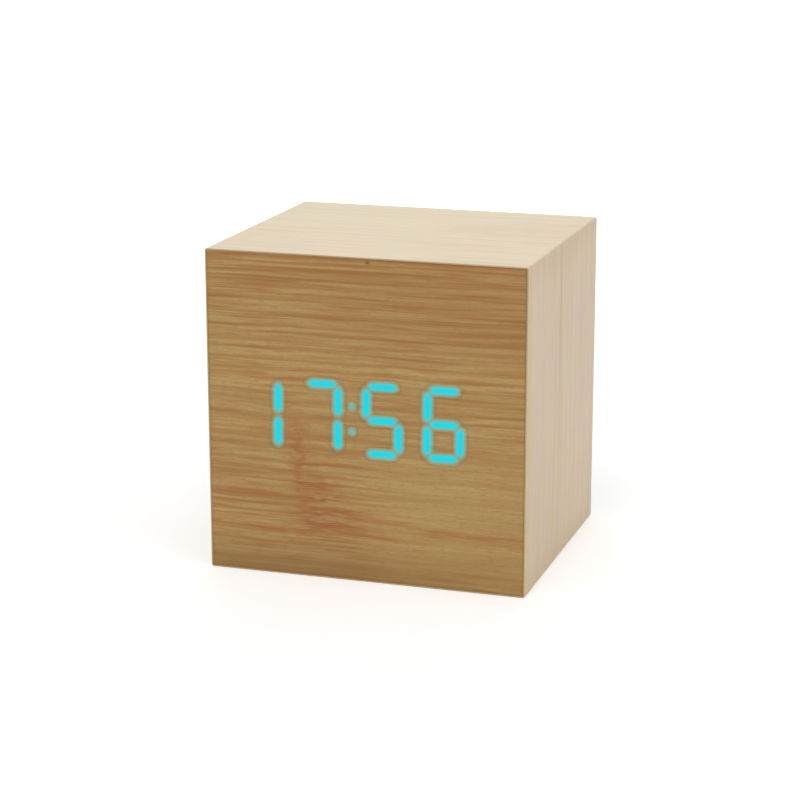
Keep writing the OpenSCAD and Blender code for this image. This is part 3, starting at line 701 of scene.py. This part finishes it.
def add_bevel(piece, width, segments=2, by_weight=False):
    bevel = piece.modifiers.new("rounded edges", "BEVEL")
    bevel.width = width * MM
    bevel.segments = segments
    bevel.limit_method = "WEIGHT" if by_weight else "ANGLE"
    bevel.angle_limit = math.radians(SHARP)
    bevel.harden_normals = True


def cad_copy(node):
    """A bmesh of a CAD node with its flat faces whole instead of in triangles."""
    bm = bmesh.new()
    bm.from_mesh(frame["nodes"][node].data)
    bmesh.ops.remove_doubles(bm, verts=bm.verts, dist=CAD_WELD * MM)
    bmesh.ops.dissolve_limit(bm, angle_limit=math.radians(CAD_FLAT), verts=bm.verts, edges=bm.edges)
    for face in bm.faces:
        face.material_index = 0
    return bm


def softened(node, width, material=None, is_steel=None):
    """A copy of a CAD node with rounded edges. Faces picked by is_steel are of steel."""
    bm = cad_copy(node)
    materials = [material or slot_of(node)]
    if is_steel:
        materials.append("steel")
        for face in bm.faces:
            face.material_index = int(is_steel(face))
    add_bevel(add_piece(f"soft_{node}", bm, node, materials), width)


def wrapped_veneer(node, material):
    """A side veneer whose edges round the front and back of the case."""
    lo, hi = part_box(node)
    bm = cad_copy(node)
    weight = bm.edges.layers.float.new("bevel_weight_edge")
    near = EDGE_NEAR * MM
    for edge in bm.edges:
        first, last = (vert.co for vert in edge.verts)
        at = (first + last) / 2
        on_end = min(abs(at.y - lo.y), abs(at.y - hi.y)) < near and abs(first.y - last.y) < near
        outside = max(abs(at.x), abs(at.z - CASE_MIDDLE * MM)) > CASE_HALF * MM - near
        edge[weight] = float(on_end and outside)
    piece = add_piece(f"soft_{node}", bm, node, [material])
    add_bevel(piece, VENEER_EDGE, segments=3, by_weight=True)


def display_middle():
    """Middle of the display in the plane of the front, in millimetres."""
    middle = middle_of("diffuser") / MM
    return Vector((middle.x, middle.z)) + Vector(DISPLAY_SHIFT)


def lit_strokes():
    """Ends of each lit stroke's middle line, in the plane of the front in millimetres, and its breadth."""
    bar, post = Vector((BAR_HALF, 0)), Vector((0, POST_HALF))
    lean = Matrix(((1, math.tan(math.radians(DIGIT_LEAN))), (0, 1)))
    turn = Matrix.Rotation(math.radians(DISPLAY_TILT), 2) @ lean
    display = display_middle()
    strokes = []
    for i, lit in enumerate(TIME_SHOWN):
        centre = Vector(((i - 1.5) * DIGIT_PITCH, 0))
        for letter in lit:
            across, up = STROKES[letter]
            middle = centre + Vector((across * DIGIT_W / 2, up * DIGIT_H / 4))
            half, breadth = (post, POST_BREADTH) if across else (bar, 1.0)
            low, high = (display + turn @ (middle + way * half) for way in (-1, 1))
            strokes.append((low, high, breadth))
    return strokes


def reach_of(point, strokes, dots):
    """Distance in millimetres from a point of the front to the nearest lit stroke, or to a fainter dot."""
    def to_stroke(a, b, breadth):
        way = (b - a).normalized()
        along = (point - a).dot(way)
        past = max(-along, along - (b - a).length, 0.0)
        aside = (point - a - along * way).length
        return math.hypot(END_TAPER * past, aside) / breadth

    near = min(to_stroke(*stroke) for stroke in strokes)
    dot = min((point - d).length for d in dots)
    return min(near, DOT_DIM + DOT_SPREAD * dot * dot, UNLIT)


def arc(centre, radius, start, end, steps):
    """Points along an arc in a plane, from a start to an end in degrees."""
    angles = [math.radians(start + (end - start) * i / steps) for i in range(steps + 1)]
    return [centre + radius * Vector((math.cos(a), math.sin(a))) for a in angles]


def capsule(a, b, radius, steps=7):
    """Outline at one distance from the line from a to b, drawn out beyond its ends by the taper."""
    way = (b - a).normalized()
    across = Vector((-way.y, way.x))
    points = []
    for end, side in ((b, 1), (a, -1)):
        for i in range(steps + 1):
            angle = math.pi * (i / steps - 0.5)
            out = math.cos(angle) / END_TAPER * way + math.sin(angle) * across
            points.append(end + side * radius * out)
    return points


def front_outline(inset):
    """Outline of the front veneer in its plane, drawn in by inset, in millimetres."""
    lo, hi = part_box("front_veneer")
    low, high = Vector((lo.x, lo.z)) / MM, Vector((hi.x, hi.z)) / MM
    left, right = low.x + FRONT_CORNER, high.x - FRONT_CORNER
    foot, top = low.y + FRONT_CORNER, high.y - FRONT_CORNER
    points = []
    for i, centre in enumerate(((right, top), (left, top), (left, foot), (right, foot))):
        points += arc(Vector(centre), FRONT_CORNER - inset, 90 * i, 90 * i + 90, steps=4)
    return points


def skin(bm, rings, closed=()):
    """Faces from each ring of verts to the next, and across the closed ones. A ring of one vert is a tip."""
    made = []
    for low, high in zip(rings, rings[1:]):
        steps = max(len(low), len(high))
        for i in range(steps):
            j = (i + 1) % steps
            corners = [low[i % len(low)], low[j % len(low)], high[j % len(high)], high[i % len(high)]]
            made.append(bm.faces.new(list(dict.fromkeys(corners))))
    for k in closed:
        made.append(bm.faces.new(rings[k]))
    return made


def lit_front():
    """The front veneer as one sheet, with points where the light behind it changes."""
    lo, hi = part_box("front_veneer")
    strokes = lit_strokes()
    dots = [display_middle() + Vector((0, side * DOT_PITCH / 2)) for side in (-1, 1)]
    inset, outline = front_outline(SEAM_EDGE), front_outline(0.0)
    rings = [inset]
    rings += [capsule(a, b, r * breadth) for a, b, breadth in strokes for r in GLOW_RINGS]
    rings += [arc(d, r, 0, 360 - 360 / DOT_STEPS, DOT_STEPS - 1) for d in dots for r in DOT_RINGS]
    points, edges = [], []
    for ring in rings:
        first = len(points)
        points += ring
        edges += [(first + i, first + (i + 1) % len(ring)) for i in range(len(ring))]
    for a, b, _ in strokes:
        edges.append((len(points), len(points) + 1))
        points += [a, b]
    points += dots
    flat, _, faces, *_ = delaunay_2d_cdt(points, edges, [], 0, FRONT_WELD)

    bm = bmesh.new()
    reach = bm.verts.layers.float.new("reach")
    front = []
    for p in flat:
        vert = bm.verts.new((p.x * MM, lo.y, p.y * MM))
        vert[reach] = reach_of(p, strokes, dots)
        front.append(vert)
    for face in faces:
        bm.faces.new([front[i] for i in face])
    # The triangulation keeps the order of its points, so the first ones are those of the inset outline
    loops = [front[:len(inset)]]
    for depth in (lo.y + SEAM_EDGE * MM, hi.y):
        loops.append([bm.verts.new((p.x * MM, depth, p.y * MM)) for p in outline])
        for vert in loops[-1]:
            vert[reach] = UNLIT
    skin(bm, loops, closed=[-1])
    add_piece("lit_front_veneer", bm, "front_veneer", sharp=FRONT_SHARP)


def circle(bm, centre, radius, side, turned, steps):
    """A ring of verts about a centre, in the plane of two directions."""
    angles = [2 * math.pi * i / steps for i in range(steps)]
    return [bm.verts.new(centre + radius * (math.cos(a) * side + math.sin(a) * turned)) for a in angles]


def lathe(bm, profile, centre, axis, steps=48):
    """Turn a profile of (distance along the axis, radius), in millimetres, about an axis through centre."""
    along = Vector(axis).normalized()
    side = along.orthogonal().normalized()
    turned = along.cross(side)
    rings = []
    for distance, radius in profile:
        base = centre + along * distance * MM
        rings.append(circle(bm, base, radius * MM, side, turned, steps if radius else 1))
    return skin(bm, rings)


def cell_radius():
    """Radius of a cell, in millimetres."""
    lo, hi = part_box("battery_cells")
    return (hi.y - lo.y) / 2 / MM


def cell_axes():
    """Each cell's way along X, 1 or -1, and the middle of its axis, from the lowest up."""
    lo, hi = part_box("battery_cells")
    radius = cell_radius() * MM
    pitch = (hi.z - lo.z - 2 * radius) / 2
    y = (lo.y + hi.y) / 2
    return [(way, Vector((0, y, lo.z + radius + i * pitch))) for i, way in enumerate((1, -1, 1))]


def battery_cells():
    """Three plain cells: film jacket, steel ends and contact button, the middle one the other way round."""
    far_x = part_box("battery_cells")[1].x
    radius, length, button = cell_radius(), CELL_LENGTH, CELL_BUTTON_R
    shoulder = length - CELL_BUTTON_LENGTH
    end = radius - CELL_END_STEP
    inner, groove_in, groove_out = (radius - step for step in GROOVE_STEPS)
    can = [(0, 0), (0, inner), (GROOVE_DEPTH, groove_in), (GROOVE_DEPTH, groove_out), (0, end)]
    band_ends = [(share * length, radius) for share in BAND_SHARE]
    bend, bend_in = CELL_BEND
    jacket = [(0, end), (bend, radius - bend_in), (CELL_ROUND, radius), *band_ends,
              (shoulder - CELL_ROUND, radius), (shoulder - bend, radius - bend_in), (shoulder, end)]
    dish = shoulder - DISH_DEPTH
    edge, edge_in = CELL_BUTTON_EDGE
    cap = [(shoulder, end), (dish, radius - DISH_STEP), (dish, button + DISH_FLOOR),
           (shoulder, button + DISH_FOOT), (length - edge, button), (length, button - edge_in), (length, 0)]
    bm = bmesh.new()
    band = bm.faces.layers.float.new("band")
    for way, axis in cell_axes():
        base = Vector((way * (far_x - length * MM), axis.y, axis.z))
        for part, material in ((can, 1), (jacket, 0), (cap, 1)):
            for face in lathe(bm, part, base, (way, 0, 0)):
                face.material_index = material
                share = (face.calc_center_median() - base).dot(Vector((way, 0, 0))) / (length * MM)
                face[band] = float(material == 0 and BAND_SHARE[0] < share < BAND_SHARE[1])
    bmesh.ops.remove_doubles(bm, verts=bm.verts, dist=WELD * MM)
    add_piece("jacketed_cells", bm, "battery_cells", ["cell_can", "steel"])


def way_at(points, i):
    """Direction of a row of points at its point i."""
    return (points[min(i + 1, len(points) - 1)] - points[max(i - 1, 0)]).normalized()


def tube(bm, points, radius, sides):
    """A closed tube of one radius, in metres, through the points."""
    rings, across = [], None
    for i, point in enumerate(points):
        way = way_at(points, i)
        if across is None:
            across = way.orthogonal().normalized()
        else:
            across = (across - across.dot(way) * way).normalized()
        rings.append(circle(bm, point, radius, across, way.cross(across), sides))
    skin(bm, rings, closed=[0, -1])


def contact_springs():
    """Three coiled springs on the contact plates, wide at the plate and narrow at the cell."""
    lo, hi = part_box("contact_springs")
    wide = (hi.y - lo.y) / 2 / MM - SPRING_WIRE / 2
    bm = bmesh.new()
    for way, axis in cell_axes():
        foot = Vector((lo.x if way > 0 else hi.x, axis.y, axis.z))
        points = []
        for k in range(SPRING_STEPS + 1):
            t = k / SPRING_STEPS
            radius = wide - t * SPRING_NARROWING
            turn = 2 * math.pi * SPRING_TURNS * t
            out = SPRING_WIRE / 2 + t * (SPRING_LENGTH - SPRING_WIRE)
            y, z = way * radius * math.cos(turn), radius * math.sin(turn)
            points.append(foot + MM * Vector((way * out, y, z)))
        tube(bm, points, SPRING_WIRE / 2 * MM, sides=8)
    add_piece("coiled_springs", bm, "contact_springs", sharp=TUBE_SHARP)


def smooth_way(a, b, c, d, steps=28):
    """Points along the curve that leaves a towards b and reaches d from c."""
    shares = [i / steps for i in range(steps + 1)]
    return [(1 - t) ** 3 * a + 3 * (1 - t) ** 2 * t * b + 3 * (1 - t) * t * t * c + t ** 3 * d
            for t in shares]


def battery_wires():
    """The two wires from the battery contacts to the control board."""
    plates_lo, plates_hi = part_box("contact_plates")
    switch_lo, switch_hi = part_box("switch_housings")
    end_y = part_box("control_board")[0].y
    end_z = middle_of("control_board").z + (switch_hi.z - switch_lo.z) / 2
    lead = Vector((0, WIRE_LEAD * MM, 0))
    in_plate = CONTACT_T / 2 * MM
    (_, lowest), _, (_, highest) = cell_axes()
    ways = {
        "red_wire": (plates_hi.x - in_plate, highest.z, middle_of("usb_shell").x),
        "black_wire": (plates_lo.x + in_plate, lowest.z, middle_of("buzzer").x),
    }
    for node, (start_x, start_z, end_x) in ways.items():
        start = Vector((start_x, plates_lo.y, start_z))
        end = Vector((end_x, end_y, end_z))
        below_end = Vector((end_x, plates_lo.y, end_z))
        bm = bmesh.new()
        tube(bm, smooth_way(start, start - lead, below_end - lead, end), WIRE_R * MM, sides=14)
        add_piece(f"smooth_{node}", bm, node, sharp=TUBE_SHARP)


def ribbon_cable():
    """Flat cable of moulded cores side by side, between the plugs of the two boards."""
    start_lo, start_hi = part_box("display_plug")
    end_lo, end_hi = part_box("control_plug")
    lead = Vector((0, start_hi.x - start_lo.x, 0))
    start = Vector((0, start_hi.y, (start_lo.z + start_hi.z) / 2))
    end = Vector((0, end_lo.y, (end_lo.z + end_hi.z) / 2))
    core_r = RIBBON_W / RIBBON_CORES / 2
    outline = []
    for side in (1, -1):
        for core in range(RIBBON_CORES):
            for k in range(RIBBON_CORE_STEPS):
                angle = math.pi * (k + 0.5) / RIBBON_CORE_STEPS
                across = -RIBBON_W / 2 + core_r * (2 * core + 1) - core_r * math.cos(angle)
                thick = RIBBON_T / 2 * (RIBBON_WEB + (1 - RIBBON_WEB) * math.sin(angle))
                outline.append((across * side, thick * side))
    points = smooth_way(start, start + lead, end - lead, end)
    right = Vector((1, 0, 0))
    bm = bmesh.new()
    rings = []
    for i, point in enumerate(points):
        at_plug = i in (0, len(points) - 1)
        up = right.cross(Vector((0, 1, 0)) if at_plug else way_at(points, i))
        rings.append([bm.verts.new(point + MM * (across * right + thick * up)) for across, thick in outline])
    skin(bm, rings, closed=[0, -1])
    add_piece("ribbed_cable", bm, "ribbon_cable", sharp=TUBE_SHARP)


def flat_face(place):
    """The place of a point (across, up, out), in millimetres, on a flat face that looks along +Y."""
    return lambda across, up, out: place + MM * Vector((across, out, up))


def door_face(middle, way, shift=0.0):
    """The same on the inside of the door, which looks along -Y. Across runs the given way, after a shift."""
    return lambda across, up, out: middle + MM * Vector((way * (across + shift), -out, up))


def jacket_face(axis):
    """The same on the jacket of a cell, with up running round it from its side towards the door."""
    radius = cell_radius()

    def on_jacket(across, up, out):
        around = up / radius
        r = radius + out
        return axis + MM * Vector((across, r * math.cos(around), r * math.sin(around)))

    return on_jacket


def raise_shape(bm, outline, on_face, height):
    """Add a flat shape that stands out of a face. on_face turns (across, up, out) into a place."""
    middle = sum(outline, Vector((0, 0))) / len(outline)
    rings = []
    for out, inset in ((-RELIEF_ROOT, 0.0), (RELIEF_WALL * height, 0.0), (height, RELIEF_CHAMFER)):
        drawn_in = [p + (middle - p).normalized() * inset for p in outline]
        rings.append([bm.verts.new(on_face(p.x, p.y, out)) for p in drawn_in])
    skin(bm, rings, closed=[0, -1])


def rectangle(width, height):
    """Outline of a rectangle about the origin."""
    return [Vector((i * width / 2, j * height / 2)) for i, j in ((-1, -1), (1, -1), (1, 1), (-1, 1))]


def raise_grid(bm, columns, rows, filled, on_face, height):
    """Add a flat relief over the cells of a grid for whose middle, (across, up), filled is true."""
    def middle(lines, k):
        return (lines[k] + lines[k + 1]) / 2

    cells = [(i, j) for i in range(len(columns) - 1) for j in range(len(rows) - 1)
             if filled(middle(columns, i), middle(rows, j))]

    @functools.cache
    def corner(i, j, out):
        return bm.verts.new(on_face(columns[i], rows[j], out))

    for i, j in cells:
        ring = [(i, j), (i + 1, j), (i + 1, j + 1), (i, j + 1)]
        beyond = [(i, j - 1), (i + 1, j), (i, j + 1), (i - 1, j)]
        for out in (-RELIEF_ROOT, height):
            bm.faces.new([corner(*c, out) for c in ring])
        for k in range(4):
            if beyond[k] not in cells:
                a, b = ring[k], ring[(k + 1) % 4]
                foot = [corner(*a, -RELIEF_ROOT), corner(*b, -RELIEF_ROOT)]
                bm.faces.new(foot + [corner(*b, height), corner(*a, height)])


def raise_plus(bm, size, width, on_face, height, steps=1):
    """Add a plus sign, cut into steps along each arm so that it can follow a curved face."""
    arm = (size - width) / 2
    lines = [width / 2 + arm * k / steps for k in range(steps + 1)]
    lines = [-v for v in reversed(lines)] + lines
    raise_grid(bm, lines, lines, lambda across, up: min(abs(across), abs(up)) < width / 2, on_face, height)


def rounded_triangle(size, up):
    """A triangle with rounded corners that points up (1) or down (-1)."""
    points = []
    for angle in (90, 210, 330):
        outwards = Vector((math.cos(math.radians(angle)), math.sin(math.radians(angle))))
        centre = outwards * size * (1 - TRIANGLE_CORNER)
        points += arc(centre, size * TRIANGLE_CORNER, angle - 60, angle + 60, steps=5)
    return [Vector((p.x, p.y * up)) for p in points]


def button_marks():
    """Raised signs on the buttons: arrows up and down, and a ring for setting."""
    height = BUTTON_SIGN_OUT
    for node, up in (("up_button", 1), ("down_button", -1)):
        bm = bmesh.new()
        raise_shape(bm, rounded_triangle(BUTTON_ARROW, up), flat_face(back_middle(node)), height)
        add_piece(f"{node}_arrow", bm, node, ["mark"], replaced=False)
    outer, inner = BUTTON_RING_R, BUTTON_RING_R - BUTTON_RING_WALL
    profile = [(-RELIEF_ROOT, outer), (height * RELIEF_WALL, outer), (height, outer - RELIEF_CHAMFER),
               (height, inner + RELIEF_CHAMFER), (height * RELIEF_WALL, inner), (-RELIEF_ROOT, inner),
               (-RELIEF_ROOT, outer)]
    bm = bmesh.new()
    lathe(bm, profile, back_middle("set_button"), (0, 1, 0))
    bmesh.ops.remove_doubles(bm, verts=bm.verts, dist=WELD * MM)
    add_piece("set_button_ring", bm, "set_button", ["mark"], replaced=False)


def latch_arrow():
    """Raised arrow on the battery door that shows which way its latch is pressed."""
    lo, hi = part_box("battery_door")
    place = Vector(((lo.x + hi.x) / 2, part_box("back_cover")[1].y, hi.z - LATCH_ARROW_DROP * MM))
    bm = bmesh.new()
    raise_shape(bm, rounded_triangle(LATCH_ARROW, -1), flat_face(place), LATCH_ARROW_OUT)
    add_piece("latch_arrow", bm, "battery_door", replaced=False)


def door_diagram():
    """Moulded drawing inside the battery door of how the cells lie: outline, button, plus and minus."""
    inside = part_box("back_cover")[1].y - DOOR_T * MM
    half_l, half_h, line = DIAGRAM_L / 2, DIAGRAM_H / 2, DIAGRAM_LINE
    tip, tip_half = half_l + DIAGRAM_TIP, DIAGRAM_H / 5
    columns = (-half_l, line - half_l, half_l - line, half_l, tip)
    rows = (-half_h, line - half_h, -tip_half, tip_half, half_h - line, half_h)
    sign_x = half_l - DIAGRAM_SIGN_IN

    def drawn(across, up):
        """Outline of a cell, and its contact button at the right."""
        if across > half_l:
            return abs(up) < tip_half
        return max(abs(across) - half_l, abs(up) - half_h) > -line

    bm = bmesh.new()
    for way, axis in cell_axes():
        middle = Vector((0, inside, axis.z))
        raise_grid(bm, columns, rows, drawn, door_face(middle, way), DIAGRAM_OUT)
        raise_plus(bm, DIAGRAM_SIGN, DIAGRAM_SIGN_LINE, door_face(middle, way, sign_x), DIAGRAM_OUT)
        minus = rectangle(DIAGRAM_SIGN, DIAGRAM_SIGN_LINE)
        raise_shape(bm, minus, door_face(middle, way, -sign_x), DIAGRAM_OUT)
    add_piece("door_diagram", bm, "battery_door", replaced=False)


def cell_signs():
    """Printed plus signs on the blue bands of the cells, turned towards the door."""
    from_end = (1 - sum(BAND_SHARE) / 2) * CELL_LENGTH * MM
    band_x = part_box("battery_cells")[1].x - from_end
    bm = bmesh.new()
    for way, axis in cell_axes():
        on_jacket = jacket_face(Vector((way * band_x, axis.y, axis.z)))
        raise_plus(bm, CELL_SIGN, CELL_SIGN_LINE, on_jacket, CELL_SIGN_OUT, steps=4)
    add_piece("cell_signs", bm, "battery_cells", ["mark"], replaced=False)


def usb_contacts():
    """Gilt contact strips under the tongue of the power socket."""
    lo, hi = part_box("usb_tongue")
    z = middle_of("usb_tongue").z + STRIP_RAISE * MM
    size = Matrix.Diagonal((*(Vector(STRIP_SIZE) * MM), 1.0))
    bm = bmesh.new()
    for i in range(STRIPS):
        x = (lo.x + hi.x) / 2 + (i - (STRIPS - 1) / 2) * STRIP_PITCH * MM
        place = Matrix.Translation((x, hi.y - STRIP_IN * MM, z))
        bmesh.ops.create_cube(bm, size=1.0, matrix=place @ size)
    piece = add_piece("usb_contacts", bm, "usb_tongue", ["mic_can"], replaced=False)
    add_bevel(piece, STRIP_EDGE)


def leg_test(node):
    """Tells the legs of a chip from its body: they stick out above and below it."""
    lo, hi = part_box(node)
    reach = (CHIP_LEG - FACE_NEAR) * MM
    return lambda face: not lo.z + reach < face.calc_center_median().z < hi.z - reach


def is_soldered_end(face):
    """Tells the soldered ends of a row of resistors from their middles."""
    return abs(face.normal.z) > 0.7


def back_face_test(node):
    """Tells the faces at the back of a node from the others."""
    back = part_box(node)[1].y
    return lambda face: abs(face.calc_center_median().y - back) < FACE_NEAR * MM


def dress_nodes():
    """Rounded copies of the rigid nodes, and finer materials for those that keep their shape."""
    for side, grain in (("top", "level"), ("bottom", "level"), ("left", "upright"), ("right", "upright")):
        wrapped_veneer(f"{side}_veneer", f"maple_{grain}")
    softened("back_veneer", SEAM_EDGE, "maple_rim")
    for node in ("back_cover", "battery_door"):
        softened(node, MOULDED_EDGE)
    for node in ("set_button", "up_button", "down_button", "set_plunger", "up_plunger", "down_plunger",
                 "light_box", "display_plug", "control_plug", "buzzer", "usb_tongue", "temperature_sensor"):
        softened(node, SMALL_EDGE)
    for node in ("cover_screws", "display_screws", "control_screws", "usb_shell", "contact_plates",
                 "microphone", "display_leds", "crystal"):
        softened(node, METAL_EDGE)
    for node in ("clock_chip", "driver_chip"):
        softened(node, LEG_EDGE, "chip_black", leg_test(node))
    softened("resistors", METAL_EDGE, "chip_black", is_soldered_end)
    softened("switch_housings", METAL_EDGE, "chip_black", back_face_test("switch_housings"))
    for node in ("front_board", "top_board", "bottom_board", "left_board", "right_board", "corner_blocks",
                 "diffuser", "display_board", "control_board"):
        mesh = frame["nodes"][node].data
        mesh.materials.clear()
        mesh.materials.append(MATERIALS[slot_of(node)])


def add_floor():
    """Pale floor that keeps the shadow; the camera sees it lifted to white."""
    g = Graph("floor")
    speck = g.noise((40.0, 40.0, 40.0))
    grey = g.mix(speck, (232, 232, 232), (236, 236, 236))
    g.finish(grey, speck, (0.85, 0.95), specular=0.1)
    away = g.add("VectorMath", operation="LENGTH")
    g.feed(away.inputs[0], g.place)
    lift = g.band(away.outputs["Value"], *FLOOR_FADE, FLOOR_LIFT, FAR_LIFT)
    g.fill(g.shader, Emission_Color=WHITE, Emission_Strength=g.times(g.seen(), lift))
    bm = bmesh.new()
    bmesh.ops.create_grid(bm, x_segments=4, y_segments=4, size=FLOOR_SIZE)
    mesh = mesh_from(bm, "floor")
    mesh.materials.append(g.material)
    floor = put("floor", mesh)
    floor.location.z = cad_box[0].z - FLOOR_GAP * MM


def add_world():
    """Even white surroundings: plain ambient light on the object, white where the camera sees them."""
    world = bpy.data.worlds.new("studio")
    scene.world = world
    world.use_nodes = True
    tree = Tree(world.node_tree)
    level = tree.math("MULTIPLY_ADD", tree.seen(), 1 - AMBIENT, AMBIENT)
    tree.fill(tree.nodes["Background"], Color=WHITE, Strength=level)


def add_lamp(name, place, size, power):
    """A soft square lamp that faces the middle of the case."""
    lamp = bpy.data.lights.new(name, "AREA")
    lamp.size = size
    lamp.energy = power
    holder = put(name, lamp)
    holder.location = place
    target = (cad_box[0] + cad_box[1]) / 2
    holder.rotation_euler = (target - Vector(place)).to_track_quat("-Z", "Y").to_euler()


def add_camera():
    """A camera at the photograph's place and angle, with nothing out of focus."""
    data = bpy.data.cameras.new("camera")
    data.lens = CAMERA_LENS
    data.clip_start, data.clip_end = CAMERA_CLIP
    around = Matrix.Rotation(math.radians(CAMERA_AZIMUTH), 4, "Z")
    tip = Matrix.Rotation(math.radians(90 - CAMERA_ELEVATION), 4, "X")
    roll = Matrix.Rotation(math.radians(CAMERA_ROLL), 4, "Z")
    camera = put("camera", data)
    camera.matrix_world = Matrix.Translation(CAMERA_PLACE) @ around @ tip @ roll
    scene.camera = camera


add_camera()
lit_front()
dress_nodes()
battery_cells()
contact_springs()
battery_wires()
ribbon_cable()
button_marks()
latch_arrow()
door_diagram()
cell_signs()
usb_contacts()
add_floor()
add_world()
for lamp_name, lamp_look in LAMPS.items():
    add_lamp(lamp_name, *lamp_look)
scene.view_settings.view_transform = "Standard"
